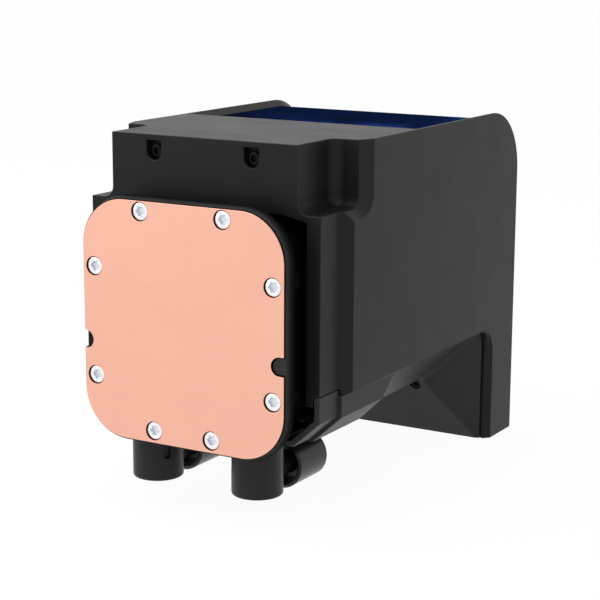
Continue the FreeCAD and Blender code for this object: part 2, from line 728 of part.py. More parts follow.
def pump_cap():
    """Rear cap over the pump's circuit board."""
    cap = rounded_block(CASING_HALF, CASING_HALF, CASING_CORNER, CASING_REAR, PUMP_REAR)
    half = CASING_HALF - CAP_WALL
    room = rounded_block(half, half, CASING_CORNER - CAP_WALL, CASING_REAR, PUMP_REAR - CAP_WALL)
    bosses = [rod_y(CAP_BOSS_R, CASING_REAR, PUMP_REAR - CAP_WALL, x, z) for x, z in cap_screw_places()]
    boss_front = PUMP_REAR - CAP_WALL - BRACKET_BOSS
    bosses += [rod_y(CAP_BOSS_R, boss_front, PUMP_REAR - CAP_WALL, x, z) for x, z in bracket_screw_places()]
    cap = cap.cut(room).fuse([boss.common(cap) for boss in bosses])
    cuts = []
    for x, z in cap_screw_places():
        cuts.append(rod_y(BRACKET_SCREW_R + SLIP_GAP, CASING_REAR, PUMP_REAR, x, z))
        cuts.append(rod_y(BRACKET_SCREW_HEAD_R + SLIP_GAP, cap_screw_seat(), PUMP_REAR, x, z))
    for x, z in bracket_screw_places():
        cuts.append(rod_y(BRACKET_SCREW_R + SEAT_GAP, boss_front, PUMP_REAR, x, z))
    return cap.cut(cuts).removeSplitter()


def pump_cap_screws():
    """Corner screws of the pump cap, sunk below its rear face."""
    length = cap_screw_seat() - DRY_FLOOR - AIR_GAP
    sizes = (cap_screw_seat(), BRACKET_SCREW_HEAD_R, BRACKET_SCREW_HEAD, BRACKET_SCREW_R, length)
    return Part.makeCompound([reversed_screw_y(x, z, *sizes) for x, z in cap_screw_places()])


def elbow(sign):
    """Swivel elbow: neck in the casing, upright body with a keyhole groove, and spigot to the rear."""
    x = sign * PORT_X
    body = rod_z(ELBOW_R, ELBOW_LOW, ELBOW_TOP, x, PORT_Y)
    rim = [edge for edge in body.Edges if edge.BoundBox.ZMax < ELBOW_LOW + NEAR]
    body = body.makeFillet(ELBOW_EDGE, rim)
    neck = rod_z(NECK_R, ELBOW_TOP, NECK_TOP, x, PORT_Y)
    spigot = rod_y(SPIGOT_R, PORT_Y, COLLAR_WEB_REAR, x, SPIGOT_Z)
    half_slot = CLIP_THICK / 2 + AIR_GAP
    seal_z = NECK_TOP - NECK_SEAL_DROP
    seal_half = NECK_SEAL_R + RUN_GAP
    clip_ring = rod_z(NECK_R + CUT_PAST, CLIP_Z - half_slot, CLIP_Z + half_slot, x, PORT_Y)
    seal_ring = rod_z(NECK_R + CUT_PAST, seal_z - seal_half, seal_z + seal_half, x, PORT_Y)
    clip_core = rod_z(NECK_GROOVE_R, CLIP_Z - half_slot, CLIP_Z + half_slot, x, PORT_Y)
    seal_core_r = NECK_R - 2 * NECK_SEAL_R - SEAT_GAP
    seal_core = rod_z(seal_core_r, seal_z - seal_half, seal_z + seal_half, x, PORT_Y)
    pipe = body.fuse([neck, spigot]).cut([clip_ring.cut(clip_core), seal_ring.cut(seal_core)])
    bores = [
        rod_z(PORT_BORE_R, SPIGOT_Z, NECK_TOP, x, PORT_Y),
        Part.makeSphere(PORT_BORE_R, Vector(x, PORT_Y, SPIGOT_Z)),
        rod_y(SPIGOT_BORE_R, PORT_Y, COLLAR_WEB_REAR, x, SPIGOT_Z),
    ]
    half = GROOVE_WIDTH / 2
    groove = box(-half, half, -ELBOW_R - CUT_PAST, GROOVE_DEPTH - ELBOW_R, GROOVE_LOW + half, ELBOW_TOP)
    groove = groove.fuse(rod_y(half, -ELBOW_R - CUT_PAST, GROOVE_DEPTH - ELBOW_R, 0, GROOVE_LOW + half))
    groove.rotate(Vector(), Vector(0, 0, 1), -sign * GROOVE_TURN)
    groove.translate(Vector(x, PORT_Y, 0))
    return pipe.cut(bores + [groove]).removeSplitter()


def elbow_seal(sign):
    """Square-section rubber ring in the groove of the elbow's neck."""
    x = sign * PORT_X
    middle = NECK_TOP - NECK_SEAL_DROP
    low = middle - NECK_SEAL_R
    high = middle + NECK_SEAL_R
    core = rod_z(NECK_R - 2 * NECK_SEAL_R, low, high, x, PORT_Y)
    return rod_z(NECK_R, low, high, x, PORT_Y).cut(core)


def elbow_clips():
    """Spring clips that hold the elbows' necks in the casing."""
    gap = NECK_GROOVE_R + RUN_GAP
    arm = gap + CLIP_ARM
    tail = CASING_HALF - AIR_GAP
    half_thick = CLIP_THICK / 2
    bar = box(PORT_X - gap / 2, tail, PORT_Y - arm, PORT_Y + arm, CLIP_Z - half_thick, CLIP_Z + half_thick)
    throat = box(PORT_X - gap, PORT_X, PORT_Y - gap, PORT_Y + gap, CLIP_Z - half_thick, CLIP_Z + half_thick)
    clip = bar.cut([rod_z(gap, CLIP_Z - CUT_PAST, CLIP_Z + CUT_PAST, PORT_X, PORT_Y), throat])
    return Part.makeCompound(both_sides(clip))


def hose_collar(sign):
    """Collar behind the elbow, open round the spigot in front, with a plain hose socket at its rear."""
    x = sign * PORT_X
    collar = rod_y(COLLAR_R, COLLAR_FRONT, COLLAR_REAR, x, SPIGOT_Z)
    ends = [edge for edge in collar.Edges if edge.BoundBox.YLength < NEAR]
    collar = collar.makeChamfer(COLLAR_EDGE, ends)
    cuts = [
        rod_y(COLLAR_RECESS_R, COLLAR_FRONT, COLLAR_WEB_FRONT, x, SPIGOT_Z),
        rod_y(SPIGOT_R + SEAT_GAP, COLLAR_WEB_FRONT, COLLAR_WEB_REAR, x, SPIGOT_Z),
        rod_y(HOSE_SOCKET_R, COLLAR_WEB_REAR, COLLAR_REAR, x, SPIGOT_Z),
    ]
    return collar.cut(cuts)


def bent_strip(outer, inner, x0, x1, start_y, end_z):
    """Strip that follows the head's top, rear bend and rear face, between two depths below its skin."""
    bend_y = HEAD_REAR - REAR_ROUND
    bend_z = HEAD_TOP - REAR_ROUND
    face = face_of(
        side(x0),
        (start_y, HEAD_TOP - outer),
        (bend_y, HEAD_TOP - outer),
        bend((bend_y, bend_z), REAR_ROUND - outer, 90, 0),
        (HEAD_REAR - outer, end_z),
        (HEAD_REAR - inner, end_z),
        (HEAD_REAR - inner, bend_z),
        bend((bend_y, bend_z), REAR_ROUND - inner, 0, 90),
        (start_y, HEAD_TOP - inner),
    )
    return face.extrude(Vector(x1 - x0, 0, 0))


def lower_side_edges(block):
    """Outer lower edges of the side plates, from behind the sleeve down the front of the leg."""
    found = []
    for edge in block.Edges:
        reach = edge.BoundBox
        outside = min(abs(reach.XMin), abs(reach.XMax)) > HEAD_HALF - NEAR
        if outside and reach.ZMax < SIDE_LOW + NEAR and reach.YMax < LEG_FRONT + NEAR:
            found.append(edge)
    return found


def head_block():
    """Outer form of the shell before it is hollowed: stepped front, sleeve, sides, rear bend and leg."""
    upper = symmetric_face(
        plan(SLEEVE_TOP),
        (BLOCK_HALF, FRONT),
        (BLOCK_HALF, STEP_Y - STEP_ROUND),
        bend((BLOCK_HALF + STEP_ROUND, STEP_Y - STEP_ROUND), STEP_ROUND, 180, 90),
        (HEAD_HALF - SHOULDER_ROUND, STEP_Y),
        bend((HEAD_HALF - SHOULDER_ROUND, STEP_Y + SHOULDER_ROUND), SHOULDER_ROUND, -90, 0),
        (HEAD_HALF, HEAD_REAR),
    ).extrude(Vector(0, 0, HEAD_TOP - SLEEVE_TOP))
    lower = symmetric_face(
        plan(SIDE_LOW),
        (SLEEVE_HALF, FRONT),
        (SLEEVE_HALF, SLEEVE_CHAMFER_START),
        (HEAD_HALF, SLEEVE_CHAMFER_END),
        (HEAD_HALF, HEAD_REAR),
    ).extrude(Vector(0, 0, SLEEVE_TOP - SIDE_LOW))
    leg = box(-HEAD_HALF, HEAD_HALF, LEG_FRONT, HEAD_REAR, LEG_LOW, SIDE_LOW)
    block = upper.fuse([lower, leg]).removeSplitter()
    block = block.makeFillet(REAR_ROUND, edges_along_x(block, HEAD_REAR, HEAD_TOP))
    block = block.makeFillet(LEG_ROUND, edges_along_x(block, LEG_FRONT, SIDE_LOW))
    return block.makeChamfer(SIDE_EDGE, lower_side_edges(block))


def ledge_cove():
    """Hollow fillet that runs along the foot of the stepped front, on the sleeve's ledge."""
    path = Part.Wire(outline_edges(
        plan(SLEEVE_TOP),
        (BLOCK_HALF, FRONT),
        (
            (BLOCK_HALF, STEP_Y - STEP_ROUND),
            bend((BLOCK_HALF + STEP_ROUND, STEP_Y - STEP_ROUND), STEP_ROUND, 180, 90),
            (HEAD_HALF - SHOULDER_ROUND, STEP_Y),
            bend((HEAD_HALF - SHOULDER_ROUND, STEP_Y + SHOULDER_ROUND), SHOULDER_ROUND, -90, 0),
        ),
    ))
    corner = (BLOCK_HALF, SLEEVE_TOP)
    centre = (BLOCK_HALF + LEDGE_COVE, SLEEVE_TOP + LEDGE_COVE)
    section = face_of(
        front(FRONT),
        corner,
        (BLOCK_HALF + LEDGE_COVE, SLEEVE_TOP),
        bend(centre, LEDGE_COVE, 270, 180),
    )
    cove = path.makePipeShell([section.OuterWire], True, False)
    return cove.common(box(0, HEAD_HALF, FRONT, HEAD_REAR, SLEEVE_TOP, HEAD_TOP))


def screen_bevel():
    """Cutter for the bevel along one side plate's inner edge, beside the display."""
    bend_y = HEAD_REAR - REAR_ROUND
    bend_z = HEAD_TOP - REAR_ROUND
    section = face_of(
        front(bend_y),
        (INNER_HALF - CUT_PAST, HEAD_TOP - SCREEN_BEVEL - CUT_PAST),
        (INNER_HALF + SCREEN_BEVEL + CUT_PAST, HEAD_TOP + CUT_PAST),
        (INNER_HALF - CUT_PAST, HEAD_TOP + CUT_PAST),
    )
    along_top = section.extrude(Vector(0, SCREEN_START - bend_y, 0))
    round_bend = section.revolve(Vector(0, bend_y, bend_z), Vector(1, 0, 0), -90)
    at_rear = section.copy()
    at_rear.rotate(Vector(0, bend_y, bend_z), Vector(1, 0, 0), -90)
    down_rear = at_rear.extrude(Vector(0, 0, LEG_LOW - 1 - bend_z))
    return along_top.fuse([round_bend, down_rear])


def screw_recess(x):
    """Recess for one front screw: flat at the top, round at the foot, with its screw hole."""
    back = FRONT + RECESS_DEPTH
    foot = rod_y(RECESS_R, FRONT, back, x, RECESS_Z)
    top = box(x - RECESS_R, x + RECESS_R, FRONT, back, RECESS_Z, HEAD_TOP - RECESS_TOP_DROP)
    hole = rod_y(SHELL_SCREW_R + SLIP_GAP, FRONT, FRONT + FRONT_WALL, x, RECESS_Z)
    return [foot, top, hole]


def mouth_arch(ceiling):
    """Room over the pump's mouth through the front wall, with sloped ends."""
    top = ceiling + MOUTH_ARCH_RISE
    corner = (MOUTH_HALF - MOUTH_ARCH_RUN, top)
    end = (MOUTH_HALF, ceiling)
    face = symmetric_face(front(FRONT - CUT_PAST), corner, end, (MOUTH_HALF, ceiling - CUT_PAST))
    return face.extrude(Vector(0, FRONT_WALL + 2 * CUT_PAST, 0))


def main_shell():
    """Moulded head shell, open below and behind, with the mouth for the pump and rails for the display."""
    sleeve_ceiling = SLEEVE_TOP - SLEEVE_ROOF_WALL
    roof = HEAD_TOP - TOP_WALL
    low = LEG_LOW - CUT_PAST
    shell = head_block().fuse(both_sides(ledge_cove()))
    block_inner = BLOCK_HALF - SIDE_WALL
    hall_front = SLEEVE_CHAMFER_END + SIDE_WALL
    cuts = [
        box(-INNER_HALF, INNER_HALF, SCREEN_START, HEAD_REAR + CUT_PAST, low, HEAD_TOP + CUT_PAST),
        box(-INNER_HALF, INNER_HALF, STEP_Y + SIDE_WALL, SCREEN_START + CUT_PAST, low, roof),
        box(-INNER_HALF, INNER_HALF, hall_front, SCREEN_START + CUT_PAST, low, sleeve_ceiling),
        box(-block_inner, block_inner, FRONT + FRONT_WALL, SCREEN_START, sleeve_ceiling - CUT_PAST, roof),
        box(-MOUTH_HALF, MOUTH_HALF, FRONT - CUT_PAST, SCREEN_START, low, sleeve_ceiling),
    ]
    cuts.append(mouth_arch(sleeve_ceiling))
    for x in (-RECESS_X, RECESS_X):
        cuts += screw_recess(x)
    lap_x = SLEEVE_HALF - LAP_THICK
    lap = box(lap_x, HEAD_HALF + CUT_PAST, FRONT - CUT_PAST, TRAY_STEP_Y + SLIP_GAP, low, SLEEVE_LOW)
    shell = shell.cut(cuts + both_sides(lap) + both_sides(screen_bevel()))
    lip = box(MOUTH_HALF, lap_x, FRONT, SLEEVE_CHAMFER_START, LIP_LOW, SLEEVE_LOW + CUT_PAST)
    rail_x = INNER_HALF - RAIL_WIDTH
    rail = bent_strip(CARRIER_BACK, RAIL_BACK, rail_x, INNER_HALF + CUT_PAST, SCREEN_START, CARRIER_END)
    return shell.fuse(both_sides(lip) + both_sides(rail)).removeSplitter()


def shell_screws():
    """Two screws in the front recesses, driven into the bracket."""
    seat_y = FRONT + RECESS_DEPTH
    length = TAB_FRONT + SHEET - seat_y
    sizes = (seat_y, SHELL_SCREW_HEAD_R, SHELL_SCREW_HEAD, SHELL_SCREW_R, length)
    return Part.makeCompound([screw_y(x, RECESS_Z, *sizes) for x in (-RECESS_X, RECESS_X)])


def display_panel():
    """Curved display that wraps from the top of the head down its rear face."""
    half = INNER_HALF - SLIP_GAP
    return bent_strip(SCREEN_RECESS, TOP_WALL, -half, half, SCREEN_START + SLIP_GAP, PANEL_END)


def board_posts():
    """X and Z of the posts under the driver board's corners."""
    x = BOARD_HALF - BOARD_SCREW_INSET
    heights = (BOARD_LOW + BOARD_SCREW_INSET, BOARD_TOP - BOARD_SCREW_INSET)
    return [(sign * x, z) for sign in (-1, 1) for z in heights]


def display_carrier():
    """Bent metal sheet behind the display, with posts for the driver board and the under cover."""
    half = INNER_HALF - SLIP_GAP
    sheet = bent_strip(TOP_WALL, CARRIER_BACK, -half, half, SCREEN_START - CARRIER_UNDER_TOP, CARRIER_END)
    posts = [rod_y(STANDOFF_R, BOARD_REAR, CARRIER_FACE, x, z) for x, z in board_posts()]
    cover_posts = [
        rod_y(COVER_BOSS_R, COVER_BOSS_END, CARRIER_FACE, x, COVER_SCREW_Z)
        for x in (-COVER_SCREW_X, COVER_SCREW_X)
    ]
    holes = [rod_y(BOARD_SCREW_R + SEAT_GAP, BOARD_REAR, CARRIER_FACE, x, z) for x, z in board_posts()]
    holes += [
        rod_y(COVER_SCREW_R + SEAT_GAP, COVER_BOSS_END, CARRIER_FACE, x, COVER_SCREW_Z)
        for x in (-COVER_SCREW_X, COVER_SCREW_X)
    ]
    return sheet.fuse(posts + cover_posts).cut(holes).removeSplitter()


def driver_board():
    """Circuit board of the display, on posts in the rear leg."""
    board = box(-BOARD_HALF, BOARD_HALF, BOARD_FRONT, BOARD_REAR, BOARD_LOW, BOARD_TOP)
    holes = [rod_y(BOARD_SCREW_R + SLIP_GAP, BOARD_FRONT, BOARD_REAR, x, z) for x, z in board_posts()]
    for x in (-COVER_SCREW_X, COVER_SCREW_X):
        holes.append(rod_y(COVER_BOSS_R + AIR_GAP, BOARD_FRONT, BOARD_REAR, x, COVER_SCREW_Z))
    return board.cut(holes)


def board_screws():
    """Corner screws of the driver board."""
    sizes = (BOARD_FRONT, BOARD_SCREW_HEAD_R, BOARD_SCREW_HEAD, BOARD_SCREW_R, BOARD_THICK + STANDOFF)
    return Part.makeCompound([screw_y(x, z, *sizes) for x, z in board_posts()])


def board_shield():
    """Metal can over the board's processor."""
    half = SHIELD_SIZE / 2
    top = SHIELD_LOW_Z + SHIELD_SIZE
    return box(-half, half, BOARD_FRONT - SHIELD_HEIGHT, BOARD_FRONT, SHIELD_LOW_Z, top)


def board_socket():
    """Lead socket at the top of the driver board."""
    half = SOCKET_WIDTH / 2
    low = BOARD_TOP - SOCKET_HEIGHT
    socket = box(-half, half, BOARD_FRONT - SOCKET_DEPTH, BOARD_FRONT, low, BOARD_TOP)
    inner = half - SOCKET_WALL
    mouth = BOARD_FRONT - SOCKET_DEPTH + SOCKET_WALL
    room = box(-inner, inner, mouth, BOARD_FRONT - SOCKET_WALL, low + SOCKET_WALL, BOARD_TOP)
    return socket.cut(room)


def display_flex():
    """Flat ribbon from the display's lower end, folded round the carrier to the back of the board."""
    panel_y = HEAD_REAR - SCREEN_RECESS - PANEL_THICK / 2 + FLEX_THICK / 2
    board_y = BOARD_REAR
    centre = ((panel_y + board_y) / 2, PANEL_END)
    outer_r = (panel_y - board_y) / 2
    inner_r = outer_r - FLEX_THICK
    top = PANEL_END + FLEX_LAP
    face = face_of(
        side(-FLEX_WIDTH / 2),
        (panel_y, PANEL_END),
        bend(centre, outer_r, 0, -180),
        (board_y, top),
        (board_y + FLEX_THICK, top),
        (board_y + FLEX_THICK, PANEL_END),
        bend(centre, inner_r, -180, 0),
    )
    return face.extrude(Vector(FLEX_WIDTH, 0, 0))


def trough(half, knee_z, floor_half, low, grow, top_z, y0, y1):
    """Prism with upright sides and sloped lower edges, each wall moved outwards by an allowance."""
    slope = math.atan2(knee_z - low, half - floor_half)
    knee = (half + grow, knee_z - grow * math.tan(math.pi / 4 - slope / 2))
    foot = (floor_half + grow * math.tan(slope / 2), low - grow)
    face = symmetric_face(front(y0), (half + grow, top_z), knee, foot)
    return face.extrude(Vector(0, y1 - y0, 0))


def hip_half(y, inset):
    """Half width of the leg between its hipped sides at one depth, each side moved in by an inset."""
    rise = (COVER_HALF - BELLY_HALF) / (HIP_LOW_Y - HIP_TOP_Y)
    return BELLY_HALF + (y - HIP_TOP_Y) * rise - inset * math.hypot(1, rise)


def hip_front_y(z, inset):
    """Depth of the leg's sloped front at one height, moved in by an inset."""
    lean = (HIP_LOW_Y - HIP_TOP_Y) / (BELLY_LOW - LEG_LOW)
    return HIP_TOP_Y + (BELLY_LOW - z) * lean + inset * math.hypot(1, lean)


def hip_leg(inset, rear):
    """Leg of the under cover: a front that slopes down to the rear between two hipped sides."""
    low = LEG_LOW + inset
    first = hip_front_y(SIDE_LOW, inset)
    half = COVER_HALF - inset
    rise = (COVER_HALF - BELLY_HALF) / (HIP_LOW_Y - HIP_TOP_Y)
    corner_y = HIP_TOP_Y + (half - hip_half(HIP_TOP_Y, inset)) / rise
    walls = symmetric_face(plan(low), (hip_half(first, inset), first), (half, corner_y), (half, rear))
    profile = face_of(
        side(-half),
        (first, SIDE_LOW),
        (hip_front_y(low, inset), low),
        (rear, low),
        (rear, SIDE_LOW),
    )
    return walls.extrude(Vector(0, 0, SIDE_LOW - low)).common(profile.extrude(Vector(2 * half, 0, 0)))


def softened_hips(block):
    """Rounds the ridges, valleys and knee where the leg's hipped front meets the belly."""
    knee = [Vector(sign * BELLY_HALF, HIP_TOP_Y, BELLY_LOW) for sign in (-1, 1)]
    edges = edges_between(block, knee[0], knee[1])
    for sign, top in zip((-1, 1), knee):
        foot = Vector(sign * COVER_HALF, HIP_LOW_Y, LEG_LOW)
        flank = Vector(sign * COVER_HALF, HIP_LOW_Y, SIDE_LOW)
        edges += edges_between(block, top, foot) + edges_between(block, top, flank)
    return block.makeFillet(HIP_ROUND, edges)


def cover_seat_y():
    """Depth of the seats of the cover's screws, whose heads end level with the leg at their lower side."""
    return hip_front_y(COVER_SCREW_Z - COVER_SCREW_HEAD_R, 0) + COVER_SCREW_HEAD


def under_cover():
    """Moulded cover that closes the belly and the hipped leg, with a chin below the display."""
    rim_top = SIDE_LOW + COVER_RIM
    section = (COVER_HALF, SIDE_LOW, BELLY_HALF, BELLY_LOW)
    belly = trough(*section, 0, rim_top, BELLY_FRONT, COVER_REAR)
    block = softened_hips(belly.fuse(hip_leg(0, COVER_REAR)).removeSplitter())
    belly_room = trough(*section, -COVER_WALL, rim_top, BELLY_FRONT + COVER_WALL, COVER_REAR)
    cover = block.cut([belly_room, hip_leg(COVER_WALL, COVER_REAR)])
    chin_top = PANEL_END + CHIN_OVERLAP
    floor = box(-COVER_HALF, COVER_HALF, COVER_REAR - CUT_PAST, HEAD_REAR, LEG_LOW, LEG_LOW + COVER_WALL)
    chin = box(-COVER_HALF, COVER_HALF, HEAD_REAR - CHIN_THICK, HEAD_REAR, LEG_LOW, chin_top)
    head_y = cover_seat_y()
    additions = [floor, chin]
    cuts = []
    for x in (-COVER_SCREW_X, COVER_SCREW_X):
        post = rod_y(COVER_BOSS_R, HIP_TOP_Y, COVER_BOSS_END, x, COVER_SCREW_Z)
        additions.append(post.common(block))
        cuts.append(rod_y(COVER_SCREW_HEAD_R + SLIP_GAP, HIP_TOP_Y - CUT_PAST, head_y, x, COVER_SCREW_Z))
        cuts.append(rod_y(COVER_SCREW_R + SLIP_GAP, HIP_TOP_Y - CUT_PAST, COVER_BOSS_END, x, COVER_SCREW_Z))
    tray_x = TRAY_HALF - TRAY_WALL - SLIP_GAP
    tray_end = TRAY_REAR + SLIP_GAP
    tray_room = box(tray_x, HEAD_HALF, BELLY_FRONT - CUT_PAST, tray_end, TRAY_KNEE_Z, SIDE_LOW)
    return cover.fuse(additions).cut(cuts + both_sides(tray_room)).removeSplitter()


def cover_screws():
    """Two screws through the leg of the under cover into the carrier's posts."""
    seat_y = cover_seat_y()
    length = COVER_BOSS_END - seat_y + 2 * COVER_BOSS_R
    sizes = (seat_y, COVER_SCREW_HEAD_R, COVER_SCREW_HEAD, COVER_SCREW_R, length)
    return Part.makeCompound([screw_y(x, COVER_SCREW_Z, *sizes) for x in (-COVER_SCREW_X, COVER_SCREW_X)])


def lower_tray():
    """Channel under the pump: sloped lower edges, a step behind the sleeve, open for the elbows."""
    section = (TRAY_HALF, TRAY_KNEE_Z, TRAY_FLOOR_HALF, TRAY_LOW)
    seam = SLEEVE_LOW - SLIP_GAP
    rear_top = SIDE_LOW - SLIP_GAP
    fore = trough(*section, 0, seam, FRONT, TRAY_STEP_Y)
    wide = trough(*section, TRAY_STEP_OUT, rear_top, TRAY_STEP_Y, TRAY_REAR)
    room = trough(*section, -TRAY_WALL, HEAD_TOP, FRONT - CUT_PAST, TRAY_REAR + CUT_PAST)
    reach = HEAD_HALF + CUT_PAST
    foot = TRAY_LOW - TRAY_STEP_OUT
    below = foot - CUT_PAST
    behind = TRAY_REAR + CUT_PAST
    notch = face_of(
        side(-reach),
        (TRAY_REAR, rear_top),
        (TRAY_NOTCH_Y, TRAY_NOTCH_Z),
        (TRAY_FLOOR_REAR, foot),
        (TRAY_FLOOR_REAR, below),
        (behind, below),
        (behind, rear_top),
    ).extrude(Vector(2 * reach, 0, 0))
    cut_half = TRAY_CUT_WIDTH / 2
    opening = box(-cut_half, cut_half, FRONT - CUT_PAST, TRAY_CUT_REAR, below, TRAY_KNEE_Z)
    holes = []
    for x in (-TRAY_SCREW_X, TRAY_SCREW_X):
        holes.append(rod_z(BRACKET_SCREW_R + SLIP_GAP, below, TRAY_INNER_FLOOR + CUT_PAST, x, TRAY_SCREW_Y))
    return fore.fuse(wide).cut([room, notch, opening] + holes).removeSplitter()


def mount_bracket():
    """Bent sheet that joins pump cap, shell and tray, with a bulkhead across the head."""
    tab_top = HEAD_TOP - TOP_WALL - AIR_GAP
    foot_low = TRAY_INNER_FLOOR
    sheet = face_of(
        side(-BRACKET_HALF),
        (TAB_FRONT, tab_top),
        (TAB_FRONT, ARM_Z - SHEET),
        (PUMP_REAR, ARM_Z - SHEET),
        (PUMP_REAR, foot_low),
        (BRACKET_REAR + FOOT_LENGTH, foot_low),
        (BRACKET_REAR + FOOT_LENGTH, foot_low + SHEET),
        (BRACKET_REAR, foot_low + SHEET),
        (BRACKET_REAR, ARM_Z),
        (TAB_FRONT + SHEET, ARM_Z),
        (TAB_FRONT + SHEET, tab_top),
    ).extrude(Vector(BRACKET_WIDTH, 0, 0))
    bulkhead_half = INNER_HALF - AIR_GAP
    bulkhead_top = SLEEVE_TOP - SLEEVE_ROOF_WALL - AIR_GAP
    bulkhead_low = SIDE_LOW + AIR_GAP
    bulkhead = box(-bulkhead_half, bulkhead_half, PUMP_REAR, BRACKET_REAR, bulkhead_low, bulkhead_top)
    section = (TRAY_HALF, TRAY_KNEE_Z, TRAY_FLOOR_HALF, TRAY_LOW)
    skirt = trough(*section, -TRAY_WALL - AIR_GAP, bulkhead_low, PUMP_REAR, BRACKET_REAR)
    inner = [(TAB_FRONT + SHEET, ARM_Z), (PUMP_REAR, ARM_Z - SHEET), (BRACKET_REAR, foot_low + SHEET)]
    outer = [(TAB_FRONT, ARM_Z - SHEET), (BRACKET_REAR, ARM_Z), (PUMP_REAR, foot_low)]
    for radius, corners in ((SHEET_BEND, inner), (SHEET_BEND + SHEET, outer)):
        edges = []
        for y, z in corners:
            edges += edges_along_x(sheet, y, z)
        sheet = sheet.makeFillet(radius, edges)
    holes = []
    for x, z in bracket_screw_places():
        holes.append(rod_y(BRACKET_SCREW_R + SLIP_GAP, PUMP_REAR, BRACKET_REAR, x, z))
    for x in (-RECESS_X, RECESS_X):
        holes.append(rod_y(SHELL_SCREW_R + SEAT_GAP, TAB_FRONT, TAB_FRONT + SHEET, x, RECESS_Z))
    for x in (-TRAY_SCREW_X, TRAY_SCREW_X):
        holes.append(rod_z(BRACKET_SCREW_R + SEAT_GAP, foot_low, foot_low + SHEET, x, TRAY_SCREW_Y))
    return sheet.fuse([bulkhead, skirt]).cut(holes).removeSplitter()


def bracket_screws():
    """Screws that hold the bracket on the pump cap."""
    length = SHEET + CAP_WALL + BRACKET_BOSS - AIR_GAP
    sizes = (BRACKET_REAR, BRACKET_SCREW_HEAD_R, BRACKET_SCREW_HEAD, BRACKET_SCREW_R, length)
    return Part.makeCompound([reversed_screw_y(x, z, *sizes) for x, z in bracket_screw_places()])


def tray_screws():
    """Screws from below through the tray into the bracket's foot."""
    seat = TRAY_LOW - TRAY_STEP_OUT
    length = TRAY_WALL + TRAY_STEP_OUT + SHEET
    screws = []
    for x in (-TRAY_SCREW_X, TRAY_SCREW_X):
        head = rod_z(BRACKET_SCREW_HEAD_R, seat - BRACKET_SCREW_HEAD, seat, x, TRAY_SCREW_Y)
        rim = [edge for edge in head.Edges if edge.BoundBox.ZMax < seat - BRACKET_SCREW_HEAD + NEAR]
        head = head.makeChamfer(BRACKET_SCREW_HEAD * SCREW_EDGE_SHARE, rim)
        shank = rod_z(BRACKET_SCREW_R, seat, seat + length, x, TRAY_SCREW_Y)
        screws.append(head.fuse(shank).removeSplitter())
    return Part.makeCompound(screws)


def pieces():
    """Every node of the assembly by name."""
    return {
        "cold_plate": cold_plate(),
        "cold_plate_screws": cold_plate_screws(),
        "cold_plate_seal": cold_plate_seal(),
        "pump_casing": pump_casing(),
        "jet_plate": jet_plate(),
        "pump_shaft": pump_shaft(),
        "thrust_washers": thrust_washers(),
        "rotor_bush": rotor_bush(),
        "impeller": impeller(),
        "rotor_magnet": rotor_magnet(),
        "separation_can": separation_can(),
        "stator_core": stator_core(),
        "stator_coils": stator_coils(),
        "pump_board": pump_board(),
        "pump_cap": pump_cap(),
        "pump_cap_screws": pump_cap_screws(),
        "elbow_clips": elbow_clips(),
        "left_elbow": elbow(-1),
        "left_elbow_seal": elbow_seal(-1),
        "left_hose_collar": hose_collar(-1),
        "right_elbow": elbow(1),
        "right_elbow_seal": elbow_seal(1),
        "right_hose_collar": hose_collar(1),
        "main_shell": main_shell(),
        "shell_screws": shell_screws(),
        "mount_bracket": mount_bracket(),
        "bracket_screws": bracket_screws(),
        "lower_tray": lower_tray(),
        "tray_screws": tray_screws(),
        "under_cover": under_cover(),
        "cover_screws": cover_screws(),
        "display_panel": display_panel(),
        "display_carrier": display_carrier(),
        "display_flex": display_flex(),
        "driver_board": driver_board(),
        "board_screws": board_screws(),
        "board_shield": board_shield(),
        "board_socket": board_socket(),
    }


def main():
    """Writes one file for each node."""
    os.makedirs("parts", exist_ok=True)
    for name, shape in pieces().items():
        if not shape.isValid():
            raise ValueError(name + " isn't a valid solid")
        shape.exportStep(os.path.join("parts", name + ".step"))
        print(name, len(shape.Solids), "solids", round(shape.Volume, 1), "mm3")


main()
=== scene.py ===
"""Looks of the pump and curved display head of a liquid cooler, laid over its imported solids, in metres."""
import json
import logging
import math
from dataclasses import dataclass, field
from enum import Enum

import bmesh
import bpy
from mathutils import Matrix, Vector

